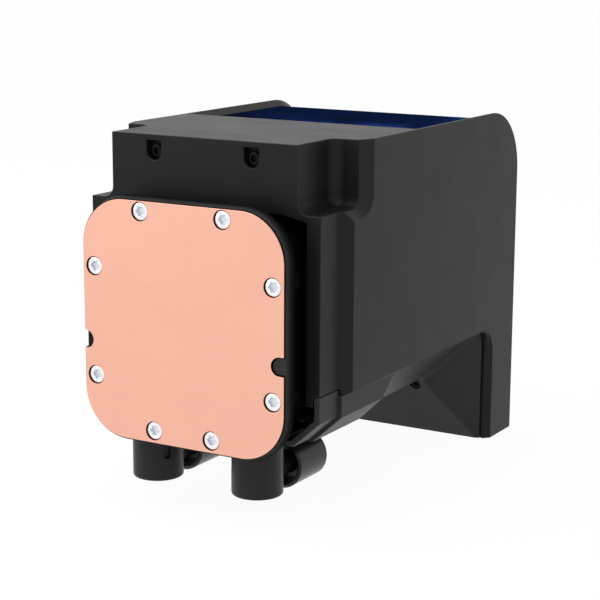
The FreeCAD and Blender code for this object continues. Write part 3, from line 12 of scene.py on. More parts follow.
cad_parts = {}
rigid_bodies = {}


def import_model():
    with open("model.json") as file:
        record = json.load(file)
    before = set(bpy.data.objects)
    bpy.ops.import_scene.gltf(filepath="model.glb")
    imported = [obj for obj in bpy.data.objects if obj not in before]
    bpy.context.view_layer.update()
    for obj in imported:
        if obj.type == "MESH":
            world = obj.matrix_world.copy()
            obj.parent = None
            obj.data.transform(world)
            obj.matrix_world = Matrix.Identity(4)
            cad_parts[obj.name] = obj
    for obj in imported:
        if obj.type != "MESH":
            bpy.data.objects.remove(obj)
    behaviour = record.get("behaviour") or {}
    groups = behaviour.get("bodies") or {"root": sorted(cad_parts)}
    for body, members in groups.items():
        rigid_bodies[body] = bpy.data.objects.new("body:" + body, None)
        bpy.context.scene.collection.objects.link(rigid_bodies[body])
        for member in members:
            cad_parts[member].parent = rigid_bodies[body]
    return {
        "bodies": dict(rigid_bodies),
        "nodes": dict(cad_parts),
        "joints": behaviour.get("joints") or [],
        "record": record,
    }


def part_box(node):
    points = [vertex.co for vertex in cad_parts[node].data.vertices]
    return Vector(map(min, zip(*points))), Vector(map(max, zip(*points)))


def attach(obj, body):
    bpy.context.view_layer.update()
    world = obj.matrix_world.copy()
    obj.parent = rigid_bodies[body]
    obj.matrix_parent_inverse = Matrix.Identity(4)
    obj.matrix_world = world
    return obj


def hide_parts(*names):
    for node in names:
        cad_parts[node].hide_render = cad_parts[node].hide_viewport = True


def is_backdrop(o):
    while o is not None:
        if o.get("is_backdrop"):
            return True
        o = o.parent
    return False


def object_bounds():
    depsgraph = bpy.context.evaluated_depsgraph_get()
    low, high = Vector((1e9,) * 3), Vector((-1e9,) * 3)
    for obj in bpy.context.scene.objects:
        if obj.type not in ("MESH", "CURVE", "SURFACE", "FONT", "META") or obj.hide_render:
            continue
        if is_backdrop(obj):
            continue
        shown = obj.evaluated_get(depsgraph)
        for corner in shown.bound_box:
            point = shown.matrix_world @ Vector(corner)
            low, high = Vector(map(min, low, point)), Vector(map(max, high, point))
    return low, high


LOG = logging.getLogger("cooler_head")
MM = 0.001
LOBES = 6
LOBE_MEAN = 0.86
LOBE_SWING = 0.14

Colour = tuple[float, float, float]
Point = tuple[float, float, float]


class Slot(Enum):
    """Material slots of the record."""

    COPPER = "copper"
    SHELL = "shell_black"
    UNDER = "under_black"
    CASING = "casing_black"
    FITTING = "fitting_black"
    COLLAR = "collar_black"
    CLEAR = "clear_plastic"
    SCREW = "screw_steel"
    BLACK_SCREW = "black_screw"
    SPRING = "spring_steel"
    SHEET = "sheet_steel"
    ALUMINIUM = "sheet_aluminium"
    RUBBER = "seal_rubber"
    CERAMIC = "ceramic_white"
    MAGNET = "magnet_grey"
    LAMINATION = "lamination"
    WINDING = "winding"
    BOARD = "board"
    SOCKET = "socket_white"
    DISPLAY = "display"
    RIBBON = "ribbon"


class Side(Enum):
    """The two hose connections, by the sign of their X."""

    LEFT = -1
    RIGHT = 1

    @property
    def word(self) -> str:
        """The side's name as the solids use it."""
        return self.name.lower()


class Drive(Enum):
    """Outlines that a ring of a turned piece can follow."""

    ROUND = "round"
    HEX = "hex"
    SIX_LOBE = "six_lobe"

    def share(self, angle: float) -> float:
        """Gives the outline's radius as a share of its nominal radius.

        Args:
            angle: Direction from the axis, in radians.

        Returns:
            The share at that direction.
        """
        if self is Drive.HEX:
            sector = math.pi / 3
            return math.cos(sector / 2) / math.cos(angle % sector - sector / 2)
        if self is Drive.SIX_LOBE:
            return LOBE_MEAN + LOBE_SWING * math.cos(LOBES * angle)
        return 1.0


class NodeSheet:
    """A material's node tree, with short calls that add a node and wire it."""

    noise_low: float = 0.3
    noise_high: float = 0.7
    flat_alike: float = 0.98
    edge_alike: float = 0.8
    edge_samples: int = 4

    def __init__(self, name: str) -> None:
        """Starts a material that holds one principled shader.

        Args:
            name: The material's name.
        """
        self.material = bpy.data.materials.new(name)
        self.material.use_nodes = True
        self.tree = self.material.node_tree
        self.tree.nodes.clear()
        self.shader = self.tree.nodes.new("ShaderNodeBsdfPrincipled")
        output = self.tree.nodes.new("ShaderNodeOutputMaterial")
        self.tree.links.new(self.shader.outputs["BSDF"], output.inputs["Surface"])
        self.coordinates = self.tree.nodes.new("ShaderNodeTexCoord")

    @property
    def point(self) -> bpy.types.NodeSocket:
        """The surface point in the object's own coordinates."""
        return self.coordinates.outputs["Object"]

    def add(self, kind: str, inputs: dict, **settings: object) -> bpy.types.Node:
        """Adds a node, sets it up and fills its inputs.

        Args:
            kind: The node's type name.
            inputs: Socket name or number, with a plain value or the socket that feeds it.
            settings: Properties of the node itself.

        Returns:
            The new node.
        """
        node = self.tree.nodes.new(kind)
        for key, value in settings.items():
            setattr(node, key, value)
        for key, value in inputs.items():
            if isinstance(value, bpy.types.NodeSocket):
                self.tree.links.new(value, node.inputs[key])
            else:
                node.inputs[key].default_value = value
        return node

    def scaled(self, scale: Point, turn: Point = (0.0, 0.0, 0.0)) -> bpy.types.NodeSocket:
        """Stretches and turns the object's coordinates.

        Args:
            scale: Factor along each axis.
            turn: Rotation about each axis, in radians.

        Returns:
            The mapped coordinates.
        """
        inputs = {"Vector": self.point, "Scale": scale, "Rotation": turn}
        return self.add("ShaderNodeMapping", inputs).outputs[0]

    def noise(self, vector: bpy.types.NodeSocket, scale: float, detail: float = 2.0) -> bpy.types.NodeSocket:
        """Adds a soft random pattern.

        Args:
            vector: Coordinates that it is laid on.
            scale: Patches to the metre.
            detail: Number of finer layers.

        Returns:
            The pattern, about 0.5 on the whole.
        """
        inputs = {"Vector": vector, "Scale": scale, "Detail": detail}
        return self.add("ShaderNodeTexNoise", inputs).outputs["Fac"]

    def spread(self, value: bpy.types.NodeSocket, low: float, high: float) -> bpy.types.NodeSocket:
        """Maps the middle of a pattern's range to two limits.

        Args:
            value: The pattern.
            low: What its dark side becomes.
            high: What its light side becomes.

        Returns:
            The mapped value.
        """
        inputs = {
            "Value": value, "From Min": self.noise_low, "From Max": self.noise_high,
            "To Min": low, "To Max": high,
        }
        return self.add("ShaderNodeMapRange", inputs).outputs[0]

    def ramp(self, value: bpy.types.NodeSocket, stops: list[tuple[float, Colour]]) -> bpy.types.NodeSocket:
        """Turns a value into a colour.

        Args:
            value: The value that picks the colour.
            stops: Places and their colours, from low to high.

        Returns:
            The colour.
        """
        node = self.add("ShaderNodeValToRGB", {"Fac": value})
        elements = node.color_ramp.elements
        while len(elements) < len(stops):
            elements.new(0.5)
        for element, (place, colour) in zip(elements, stops):
            element.position = place
            element.color = (*colour, 1.0)
        return node.outputs["Color"]

    def raised(self, height: bpy.types.NodeSocket, depth: float, strength: float) -> None:
        """Lets a pattern stand out of the surface.

        Args:
            height: The pattern.
            depth: Its height in metres.
            strength: Share of it that shows.
        """
        inputs = {"Height": height, "Distance": depth, "Strength": strength}
        bump = self.add("ShaderNodeBump", inputs)
        self.feed("Normal", bump.outputs["Normal"])

    def edges(self, reach: float) -> bpy.types.NodeSocket:
        """Finds the surface's edges.

        Args:
            reach: How far from an edge it still counts.

        Returns:
            A value near 0 on flats, which rises towards edges and corners.
        """
        rounded = self.add("ShaderNodeBevel", {"Radius": reach}, samples=self.edge_samples).outputs["Normal"]
        plain = self.add("ShaderNodeNewGeometry", {}).outputs["Normal"]
        alike = self.add("ShaderNodeVectorMath", {0: rounded, 1: plain}, operation="DOT_PRODUCT")
        inputs = {"Value": alike.outputs["Value"], "From Min": self.flat_alike, "From Max": self.edge_alike}
        return self.add("ShaderNodeMapRange", inputs).outputs[0]

    def blend(self, share: bpy.types.NodeSocket, first: object, second: object) -> bpy.types.NodeSocket:
        """Mixes two colours.

        Args:
            share: Share of the second colour.
            first: A colour socket.
            second: A colour socket, or a plain colour with alpha.

        Returns:
            The mixed colour.
        """
        inputs = {0: share, 6: first, 7: second}
        return self.add("ShaderNodeMix", inputs, data_type="RGBA").outputs[2]

    def feed(self, socket: str, value: bpy.types.NodeSocket) -> None:
        """Wires a value into the shader."""
        self.tree.links.new(value, self.shader.inputs[socket])


@dataclass(frozen=True)
class Skin:
    """Painted shade that begins at a depth behind a piece's front: a darker colour on walls, sides and in
    recesses, where shade falls.
    """

    colour: Colour
    start: float
    full: float

    def over(self, sheet: NodeSheet, bare: bpy.types.NodeSocket) -> bpy.types.NodeSocket:
        """Darkens a bare colour with painted shade, by depth.

        Args:
            sheet: The material's nodes.
            bare: The colour at the front.

        Returns:
            The colour as it shows.
        """
        # Painted shade: the colour darkens with depth Y behind the front.
        depth = sheet.add("ShaderNodeSeparateXYZ", {0: sheet.point}).outputs["Y"]
        inputs = {"Value": depth, "From Min": self.start, "From Max": self.full}
        share = sheet.add("ShaderNodeMapRange", inputs).outputs[0]
        return sheet.blend(share, bare, (*self.colour, 1.0))


@dataclass(frozen=True)
class Finish:
    """A material of the record: its colour, gloss and the pattern that its kind of surface has."""

    slot: Slot
    colour: Colour
    roughness: float
    metallic: float = 0.0
    specular: float = 0.5
    # Painted shade by depth, where the finish has one.
    skin: Skin | None = None
    dark_stop: float = 0.35
    light_stop: float = 0.65

    def make(self) -> bpy.types.Material:
        """Builds the material.

        Returns:
            The material, named after its slot.
        """
        sheet = NodeSheet(self.slot.value)
        inputs = sheet.shader.inputs
        inputs["Base Color"].default_value = (*self.colour, 1.0)
        inputs["Roughness"].default_value = self.roughness
        inputs["Metallic"].default_value = self.metallic
        inputs["Specular IOR Level"].default_value = self.specular
        sheet.material.diffuse_color = (*self.colour, 1.0)
        self.pattern(sheet)
        return sheet.material

    def pattern(self, sheet: NodeSheet) -> None:
        """Adds the surface's own pattern, which a plain finish hasn't."""

    def covered(self, sheet: NodeSheet, bare: bpy.types.NodeSocket) -> bpy.types.NodeSocket:
        """Gives the colour with the finish's painted depth shade, where it has one."""
        return self.skin.over(sheet, bare) if self.skin else bare

    def tinted(self, factor: float) -> Colour:
        """Gives the finish's colour, darker or lighter."""
        return tuple(min(1.0, part * factor) for part in self.colour)

    def averaged(
        self, sheet: NodeSheet, fine: bpy.types.NodeSocket, slow: bpy.types.NodeSocket
    ) -> bpy.types.NodeSocket:
        """Gives the mean of a fine and a slow pattern."""
        both = sheet.add("ShaderNodeMath", {0: fine, 1: slow}, operation="ADD").outputs[0]
        return sheet.add("ShaderNodeMath", {0: both, 1: 0.5}, operation="MULTIPLY").outputs[0]

    def toned(self, sheet: NodeSheet, value: bpy.types.NodeSocket, shade: float) -> bpy.types.NodeSocket:
        """Turns a pattern into darker and lighter tones of the finish's colour."""
        stops = [(self.dark_stop, self.tinted(1 - shade)), (self.light_stop, self.tinted(1 + shade))]
        return sheet.ramp(value, stops)


@dataclass(frozen=True)
class Moulded(Finish):
    """Plastic or rubber from a mould with a fine eroded grain."""

    grain: float = 0.35 * MM
    grain_height: float = 0.012 * MM
    grain_detail: float = 3.0
    grain_shows: float = 0.35
    drift_scale: float = 90.0
    mottle: float = 0.18
    gloss_drift: float = 0.05
    wear: float = 0.0
    wear_reach: float = 0.35 * MM

    def pattern(self, sheet: NodeSheet) -> None:
        """Adds the grain, with a slow drift of shade and gloss, and paler edges that are partly wear and
        partly a painted edge highlight.

        Args:
            sheet: The material's nodes.
        """
        fine = sheet.noise(sheet.point, 1 / self.grain, self.grain_detail)
        slow = sheet.noise(sheet.point, self.drift_scale)
        half = self.averaged(sheet, fine, slow)
        colour = self.toned(sheet, half, self.mottle)
        # Paler edges: partly handling wear, partly a painted highlight along the edges.
        if self.wear:
            inputs = {0: sheet.edges(self.wear_reach), 1: slow}
            worn_and_sheened = sheet.add("ShaderNodeMath", inputs, operation="MULTIPLY").outputs[0]
            colour = sheet.blend(worn_and_sheened, colour, (*self.tinted(1 + self.wear), 1.0))
        sheet.feed("Base Color", self.covered(sheet, colour))
        low = self.roughness - self.gloss_drift
        high = self.roughness + self.gloss_drift
        sheet.feed("Roughness", sheet.spread(half, low, high))
        sheet.raised(fine, self.grain_height, self.grain_shows)


@dataclass(frozen=True)
class Lapped(Finish):
    """Metal that was ground or brushed in one direction."""

    along: Point = (40.0, 6000.0, 6000.0)
    line_detail: float = 4.0
    line_height: float = 0.004 * MM
    line_shows: float = 0.3
    line_shade: float = 0.02
    drift_scale: float = 60.0
    gloss_drift: float = 0.06

    def pattern(self, sheet: NodeSheet) -> None:
        """Adds the grinding lines and a slow drift of tone.

        Args:
            sheet: The material's nodes.
        """
        lines = sheet.noise(sheet.scaled(self.along), 1.0, self.line_detail)
        slow = sheet.noise(sheet.point, self.drift_scale)
        half = self.averaged(sheet, lines, slow)
        sheet.feed("Base Color", self.covered(sheet, self.toned(sheet, half, self.line_shade)))
        low = self.roughness - self.gloss_drift
        high = self.roughness + self.gloss_drift
        sheet.feed("Roughness", sheet.spread(lines, low, high))
        sheet.raised(lines, self.line_height, self.line_shows)


@dataclass(frozen=True)
class Layered(Finish):
    """A stack of thin layers or turns of wire, seen as fine bands."""

    pitch: float = 0.5 * MM
    band_shade: float = 0.35
    band_shows: float = 0.5
    across: Point = (0.0, 1.0, 0.0)

    def pattern(self, sheet: NodeSheet) -> None:
        """Adds the bands.

        Args:
            sheet: The material's nodes.
        """
        place = sheet.add("ShaderNodeVectorMath", {0: sheet.point, 1: self.across}, operation="DOT_PRODUCT")
        turn = 2 * math.pi / self.pitch
        angle = sheet.add("ShaderNodeMath", {0: place.outputs["Value"], 1: turn}, operation="MULTIPLY")
        wave = sheet.add("ShaderNodeMath", {0: angle.outputs[0]}, operation="SINE")
        inputs = {"Value": wave.outputs[0], "From Min": -1.0, "From Max": 1.0}
        band = sheet.add("ShaderNodeMapRange", inputs).outputs[0]
        stops = [(0.0, self.tinted(1 - self.band_shade)), (1.0, self.colour)]
        sheet.feed("Base Color", sheet.ramp(band, stops))
        sheet.raised(band, self.pitch / 4, self.band_shows)


@dataclass(frozen=True)
class Traced(Finish):
    """A circuit board: solder mask over a web of copper tracks."""

    cell: float = 2.4 * MM
    track: Colour = (0.03, 0.16, 0.07)
    track_start: float = 0.42
    track_full: float = 0.46
    track_height: float = 0.03 * MM
    track_shows: float = 0.2

    def pattern(self, sheet: NodeSheet) -> None:
        """Adds the tracks under the mask.

        Args:
            sheet: The material's nodes.
        """
        inputs = {"Vector": sheet.point, "Scale": 1 / self.cell}
        cells = sheet.add("ShaderNodeTexVoronoi", inputs, distance="CHEBYCHEV", feature="F1")
        stops = [(self.track_start, self.colour), (self.track_full, self.track)]
        sheet.feed("Base Color", sheet.ramp(cells.outputs["Distance"], stops))
        sheet.raised(cells.outputs["Distance"], self.track_height, self.track_shows)


@dataclass(frozen=True)
class LitPanel(Finish):
    """The lit display: slow bands of blue that run over the bend."""

    deep: Colour = (0.0012, 0.004, 0.014)
    middle: Colour = (0.0025, 0.0095, 0.048)
    bright: Colour = (0.012, 0.05, 0.24)
    band: float = 42.0 * MM
    band_slant: float = 0.8
    band_swing: float = 0.22
    band_mean: float = 0.42
    side_gain: float = 0.3
    cloud_scale: float = 38.0
    cloud_detail: float = 3.0
    sway: float = 0.55
    half_width: float = 34.0 * MM

    def pattern(self, sheet: NodeSheet) -> None:
        """Adds the light: darker at the left, with bands across the length of the panel.

        Args:
            sheet: The material's nodes.
        """
        length = (0.0, 1 / self.band, -1 / self.band)
        run = sheet.add("ShaderNodeVectorMath", {0: sheet.point, 1: length}, operation="DOT_PRODUCT")
        width = (1 / self.half_width, 0.0, 0.0)
        across = sheet.add("ShaderNodeVectorMath", {0: sheet.point, 1: width}, operation="DOT_PRODUCT")
        cloud = sheet.noise(sheet.point, self.cloud_scale, self.cloud_detail)
        drift = sheet.spread(cloud, -self.sway, self.sway)
        inputs = {0: across.outputs["Value"], 1: self.band_slant, 2: drift}
        slant = sheet.add("ShaderNodeMath", inputs, operation="MULTIPLY_ADD")
        phase = sheet.add("ShaderNodeMath", {0: run.outputs["Value"], 1: slant.outputs[0]}, operation="ADD")
        turn = sheet.add("ShaderNodeMath", {0: phase.outputs[0], 1: math.pi}, operation="MULTIPLY")
        wave = sheet.add("ShaderNodeMath", {0: turn.outputs[0]}, operation="SINE")
        inputs = {0: wave.outputs[0], 1: self.band_swing, 2: self.band_mean}
        level = sheet.add("ShaderNodeMath", inputs, operation="MULTIPLY_ADD")
        inputs = {0: across.outputs["Value"], 1: self.side_gain, 2: level.outputs[0]}
        tone = sheet.add("ShaderNodeMath", inputs, operation="MULTIPLY_ADD")
        stops = [(0.0, self.deep), (0.5, self.middle), (1.0, self.bright)]
        sheet.feed("Emission Color", sheet.ramp(tone.outputs[0], stops))
        sheet.shader.inputs["Emission Strength"].default_value = 1.0


class FinishRack:
    """Every finish of the head, with its material made once."""

    def __init__(self) -> None:
        """Sets up the finishes and builds their materials."""
        # Painted shade: copper walls, sides and screw seats turn dark brown just behind the front face.
        copper_wall_shade = Skin((0.16, 0.035, 0.014), 0.0, 0.06 * MM)
        # Painted shade: screw drive recesses and head sides greyer than the bright head face.
        recess_shade = Skin((0.72, 0.75, 0.80), 0.5 * MM, 0.7 * MM)
        # Painted shade: the casing fades from a lighter front lip to near black behind it, as shade falls
        # into the shell's mouth.
        casing_depth_shade = Skin((0.004, 0.004, 0.0042), 0.45 * MM, 2.2 * MM)
        even = (900.0, 900.0, 900.0)
        finishes = [
            Lapped(Slot.COPPER, (0.93, 0.50, 0.38), 0.36, 1.0, skin=copper_wall_shade),
            Moulded(Slot.SHELL, (0.0072, 0.0072, 0.0074), 0.44, specular=0.175, wear=2.0),
            # A lighter copy of the shell's black for the tray and cover: painted light that stands in for
            # light bounced from below.
            Moulded(Slot.UNDER, (0.027, 0.027, 0.0273), 0.48, specular=0.175, grain=0.45 * MM, wear=1.0),
            # The casing's colour is its lit front lip; painted depth shade darkens it to near black behind.
            Moulded(Slot.CASING, (0.037, 0.037, 0.038), 0.6, specular=0.02, skin=casing_depth_shade, grain=0.5 * MM),
            Moulded(Slot.FITTING, (0.011, 0.011, 0.0112), 0.4, specular=0.22, grain=0.6 * MM),
            Moulded(Slot.COLLAR, (0.005, 0.005, 0.0052), 0.3, specular=0.3, grain=0.6 * MM),
            Moulded(Slot.CLEAR, (0.55, 0.56, 0.58), 0.3),
            Lapped(Slot.SCREW, (0.93, 0.93, 0.94), 0.26, 1.0, skin=recess_shade, along=even),
            Lapped(Slot.BLACK_SCREW, (0.003, 0.003, 0.0032), 0.3, specular=0.1, along=even),
            Lapped(Slot.SPRING, (0.60, 0.60, 0.62), 0.3, 1.0),
            Moulded(Slot.SHEET, (0.0025, 0.0025, 0.0026), 0.6, specular=0.0),
            Lapped(Slot.ALUMINIUM, (0.70, 0.70, 0.72), 0.4, 1.0),
            Moulded(Slot.RUBBER, (0.012, 0.012, 0.012), 0.7, specular=0.3),
            Moulded(Slot.CERAMIC, (0.85, 0.84, 0.80), 0.35),
            Moulded(Slot.MAGNET, (0.05, 0.05, 0.055), 0.55),
            Layered(Slot.LAMINATION, (0.30, 0.30, 0.32), 0.4, 0.9),
            Layered(Slot.WINDING, (0.60, 0.22, 0.09), 0.3, 0.8, pitch=0.4 * MM),
            Traced(Slot.BOARD, (0.012, 0.07, 0.035), 0.4),
            Moulded(Slot.SOCKET, (0.75, 0.74, 0.68), 0.45),
            LitPanel(Slot.DISPLAY, (0.001, 0.001, 0.0012), 0.3, specular=0.0),
            Moulded(Slot.RIBBON, (0.50, 0.20, 0.03), 0.3),
        ]
        self.materials = {finish.slot: finish.make() for finish in finishes}

    def paint(self, piece: bpy.types.Object, slot: Slot) -> None:
        """Gives a piece one finish all over.

        Args:
            piece: The mesh object.
            slot: Its finish.
        """
        piece.data.materials.clear()
        piece.data.materials.append(self.materials[slot])
        for face in piece.data.polygons:
            face.material_index = 0


@dataclass(frozen=True)
class EdgeWork:
    """How the outer edges of a solid are eased."""

    width: float = 0.3 * MM
    segments: int = 2
    turn: float = math.radians(28.0)
    strip_turn: float = math.radians(60.0)
    least: float = math.radians(70.0)
    weld: float = 0.001 * MM
    flat: float = math.radians(0.4)

    def ease(self, node: bpy.types.Object) -> bmesh.types.BMesh:
        """Copies a solid's mesh and rounds its outer edges.

        Args:
            node: The solid's object, which stays as it is.

        Returns:
            The eased mesh.
        """
        return self.finished(self.copied(node))

    def copied(self, node: bpy.types.Object) -> bmesh.types.BMesh:
        """Copies a solid's mesh with its loose triangles joined up.

        Args:
            node: The solid's object, which stays as it is.

        Returns:
            The joined-up mesh.
        """
        mesh = bmesh.new()
        mesh.from_mesh(node.data)
        bmesh.ops.remove_doubles(mesh, verts=mesh.verts, dist=self.weld)
        bmesh.ops.dissolve_limit(mesh, angle_limit=self.flat, verts=mesh.verts, edges=mesh.edges)
        return mesh

    def finished(self, mesh: bmesh.types.BMesh) -> bmesh.types.BMesh:
        """Rounds and shades the outer edges of a joined-up mesh.

        Args:
            mesh: The mesh, which changes.

        Returns:
            The same mesh.
        """
        outer = [edge for edge in mesh.edges if self.is_outer(edge)]
        strips = self.rounded(mesh, outer)
        bmesh.ops.dissolve_degenerate(mesh, dist=self.weld, edges=mesh.edges)
        self.shade(mesh, {face for face in strips if face.is_valid})
        return mesh

    def rounded(self, mesh: bmesh.types.BMesh, edges: list) -> set:
        """Rounds the given edges of a mesh.

        Args:
            mesh: The mesh, which changes.
            edges: The edges to round.

        Returns:
            The new faces.
        """
        made = bmesh.ops.bevel(
            mesh, geom=edges, offset=self.width, offset_type="OFFSET", segments=self.segments,
            profile=0.5, affect="EDGES", clamp_overlap=False, material=-1,
        )
        return set(made["faces"])

    def is_outer(self, edge: bmesh.types.BMEdge) -> bool:
        """Tells whether an edge is an outer corner that gets rounded."""
        return len(edge.link_faces) == 2 and edge.calc_face_angle_signed() > self.least

    def shade(self, mesh: bmesh.types.BMesh, strips: set) -> None:
        """Smooths curved faces and the rounded strips, and keeps the other edges sharp.

        Args:
            mesh: The eased mesh.
            strips: Faces of the rounded edges.
        """
        for face in mesh.faces:
            face.smooth = True
        for edge in mesh.edges:
            if len(edge.link_faces) != 2:
                continue
            first, second = (face in strips for face in edge.link_faces)
            limit = self.strip_turn if first else self.turn
            edge.smooth = first == second and edge.calc_face_angle() < limit


@dataclass(frozen=True)
class Ring:
    """One level of a turned piece: its radius, its depth behind the front and its outline."""

    radius: float
    depth: float
    drive: Drive = Drive.ROUND


@dataclass(frozen=True)
class ScrewShape:
    """A screw with a drive recess, as rings from the recess floor round the head to the tip."""

    head_radius: float
    head: float
    shank_radius: float
    recess_radius: float
    recess: float
    drive: Drive
    proud: float = 0.0
    edge: float = 0.25 * MM
    edge_start: float = 1.6
    edge_middle: float = 0.6
    edge_middle_drop: float = 0.3
    lip: float = 0.12 * MM
    recess_taper: float = 0.9
    segments: int = 48

    def rings(self, tip: float) -> list[Ring]:
        """Lists the levels of a screw.

        Args:
            tip: Depth of its tip.

        Returns:
            The levels, from the recess floor round the head to the tip.
        """
        return [
            Ring(self.recess_radius * self.recess_taper, self.recess, self.drive),
            Ring(self.recess_radius, self.lip, self.drive),
            Ring(self.recess_radius + self.lip, 0.0, self.drive),
            Ring(self.head_radius - self.edge_start * self.edge, 0.0),
            Ring(self.head_radius - self.edge_middle * self.edge, self.edge_middle_drop * self.edge),
            Ring(self.head_radius, self.edge),
            Ring(self.head_radius, self.head),
            Ring(self.shank_radius, self.head),
            Ring(self.shank_radius, tip - self.edge),
            Ring(self.shank_radius - self.edge, tip),
        ]

    def one(self, tip: float) -> bmesh.types.BMesh:
        """Turns one screw, head towards -Y, with the middle of its head face at the origin.

        Args:
            tip: Depth of its tip.

        Returns:
            The screw's mesh.
        """
        mesh = bmesh.new()
        rings = self.rings(tip)
        bmesh.ops.create_circle(mesh, cap_ends=True, segments=self.segments, radius=1.0)
        angles = {vert: math.atan2(vert.co.y, vert.co.x) for vert in mesh.verts}
        self.settle(angles, rings[0])
        edges = list(mesh.edges)
        for ring in rings[1:]:
            made = bmesh.ops.extrude_edge_only(mesh, edges=edges)["geom"]
            verts = [item for item in made if isinstance(item, bmesh.types.BMVert)]
            angles = {vert: math.atan2(vert.co.y, vert.co.x) for vert in verts}
            self.settle(angles, ring)
            edges = [
                item for item in made
                if isinstance(item, bmesh.types.BMEdge) and all(vert in angles for vert in item.verts)
            ]
        bmesh.ops.edgeloop_fill(mesh, edges=edges)
        bmesh.ops.recalc_face_normals(mesh, faces=mesh.faces)
        facing = Matrix.Rotation(math.pi / 2, 3, "X")
        bmesh.ops.rotate(mesh, verts=mesh.verts, cent=(0.0, 0.0, 0.0), matrix=facing)
        return mesh

    def settle(self, angles: dict, ring: Ring) -> None:
        """Moves one loop of vertices onto a ring.

        Args:
            angles: Each vertex with its direction from the axis.
            ring: The ring that it takes.
        """
        for vert, angle in angles.items():
            radius = ring.radius * ring.drive.share(angle)
            vert.co = (radius * math.cos(angle), radius * math.sin(angle), -ring.depth)

    def at(self, node: str, spots: list[tuple[float, float]]) -> bmesh.types.BMesh:
        """Sets one screw at each spot, on the seat and down to the depth that the solids have.

        Args:
            node: The screws' solids.
            spots: X and Z of each screw.

        Returns:
            All the screws in one mesh.
        """
        low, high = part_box(node)
        top = low.y - self.proud
        places = [(x, top, z) for x, z in spots]
        mesh = self.one(high.y - top)
        pattern = list(mesh.verts) + list(mesh.edges) + list(mesh.faces)
        for place in places[1:]:
            made = bmesh.ops.duplicate(mesh, geom=pattern)["geom"]
            verts = [item for item in made if isinstance(item, bmesh.types.BMVert)]
            bmesh.ops.translate(mesh, verts=verts, vec=Vector(place))
        first = [item for item in pattern if isinstance(item, bmesh.types.BMVert)]
        bmesh.ops.translate(mesh, verts=first, vec=Vector(places[0]))
        EdgeWork().shade(mesh, set())
        return mesh


@dataclass
class SubAssembly:
    """A group of the head's pieces with the finishes that dress them."""

    frame: dict
    rack: FinishRack
    body: str = "head"

    def slot_of(self, node: str) -> Slot:
        """Looks up a solid's finish in the record.

        Args:
            node: The solid's name.

        Returns:
            The finish's slot.
        """
        for row in self.frame["record"]["subparts"]:
            if row["node"] == node:
                return Slot(row["material_slot"])
        raise KeyError(node)

    def stand_in(self, node: str, mesh: bmesh.types.BMesh) -> bpy.types.Object:
        """Makes a mesh the piece that is shown for a solid.

        Args:
            node: The solid's name.
            mesh: The finished mesh, which is used up.

        Returns:
            The new piece.
        """
        piece = self.shown(node + "_skin", mesh, self.slot_of(node))
        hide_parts(node)
        return piece

    def shown(self, name: str, mesh: bmesh.types.BMesh, slot: Slot) -> bpy.types.Object:
        """Makes a mesh a piece that moves with the group's body.

        Args:
            name: The piece's name.
            mesh: The finished mesh, which is used up.
            slot: The finish that it takes.

        Returns:
            The new piece.
        """
        data = bpy.data.meshes.new(name)
        mesh.to_mesh(data)
        mesh.free()
        piece = bpy.data.objects.new(name, data)
        bpy.context.scene.collection.objects.link(piece)
        piece.modifiers.new("flats_lead", "WEIGHTED_NORMAL").keep_sharp = True
        self.rack.paint(piece, slot)
        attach(piece, self.body)
        return piece

    def eased(self, node: str, work: EdgeWork) -> bpy.types.Object:
        """Shows a solid with eased edges."""
        return self.stand_in(node, work.ease(self.frame["nodes"][node]))

    def build(self) -> list[bpy.types.Object]:
        """Makes the group's pieces."""
        raise NotImplementedError


@dataclass
class ColdPlate(SubAssembly):
    """The copper plate that meets the processor, and its eight screws."""

    edge: EdgeWork = EdgeWork(width=0.08 * MM)
    screw: ScrewShape = ScrewShape(
        2.36 * MM, 1.5 * MM, 1.25 * MM, 1.45 * MM, 0.9 * MM, Drive.SIX_LOBE, proud=0.2 * MM
    )
    top_x: float = 12.3 * MM
    top_z: float = 28.5 * MM
    low_x: float = 8.7 * MM
    low_z: float = -28.1 * MM
    side_x: float = 26.7 * MM
    side_high_z: float = 13.2 * MM
    side_low_z: float = -15.5 * MM

    def build(self) -> list[bpy.types.Object]:
        """Makes the plate and the screws.

        Returns:
            The plate and the screws.
        """
        rows = [
            (self.top_x, self.top_z), (self.low_x, self.low_z),
            (self.side_x, self.side_high_z), (self.side_x, self.side_low_z),
        ]
        spots = [(side.value * x, z) for x, z in rows for side in Side]
        plate = self.eased("cold_plate", self.edge)
        screws = self.stand_in("cold_plate_screws", self.screw.at("cold_plate_screws", spots))
        return [plate, screws]


@dataclass
class PumpBody(SubAssembly):
    """The pump's casing behind the cold plate."""

    edge: EdgeWork = EdgeWork(width=0.05 * MM)
    ledge_edge: EdgeWork = EdgeWork(width=0.8 * MM, segments=6)
    ledge_y: float = 3.7 * MM

    def build(self) -> list[bpy.types.Object]:
        """Makes the casing, whose rim is well rounded towards the ledge behind it.

        Returns:
            The casing.
        """
        mesh = self.edge.copied(self.frame["nodes"]["pump_casing"])
        ledge = [edge for edge in mesh.edges if self.edge.is_outer(edge) and self.at_ledge(edge)]
        self.ledge_edge.rounded(mesh, ledge)
        return [self.stand_in("pump_casing", self.edge.finished(mesh))]

    def at_ledge(self, edge: bmesh.types.BMEdge) -> bool:
        """Tells whether an edge lies on the ledge behind the rim."""
        return all(abs(vert.co.y - self.ledge_y) < self.edge.weld for vert in edge.verts)


@dataclass
class SwivelFitting(SubAssembly):
    """One swivelling elbow with its hose collar."""

    side: Side = Side.LEFT
    elbow_edge: EdgeWork = EdgeWork(width=0.15 * MM)
    collar_edge: EdgeWork = EdgeWork(width=0.2 * MM)

    def build(self) -> list[bpy.types.Object]:
        """Makes the elbow and the collar.

        Returns:
            The elbow and the collar.
        """
        elbow = self.eased(f"{self.side.word}_elbow", self.elbow_edge)
        collar = self.eased(f"{self.side.word}_hose_collar", self.collar_edge)
        return [elbow, collar]


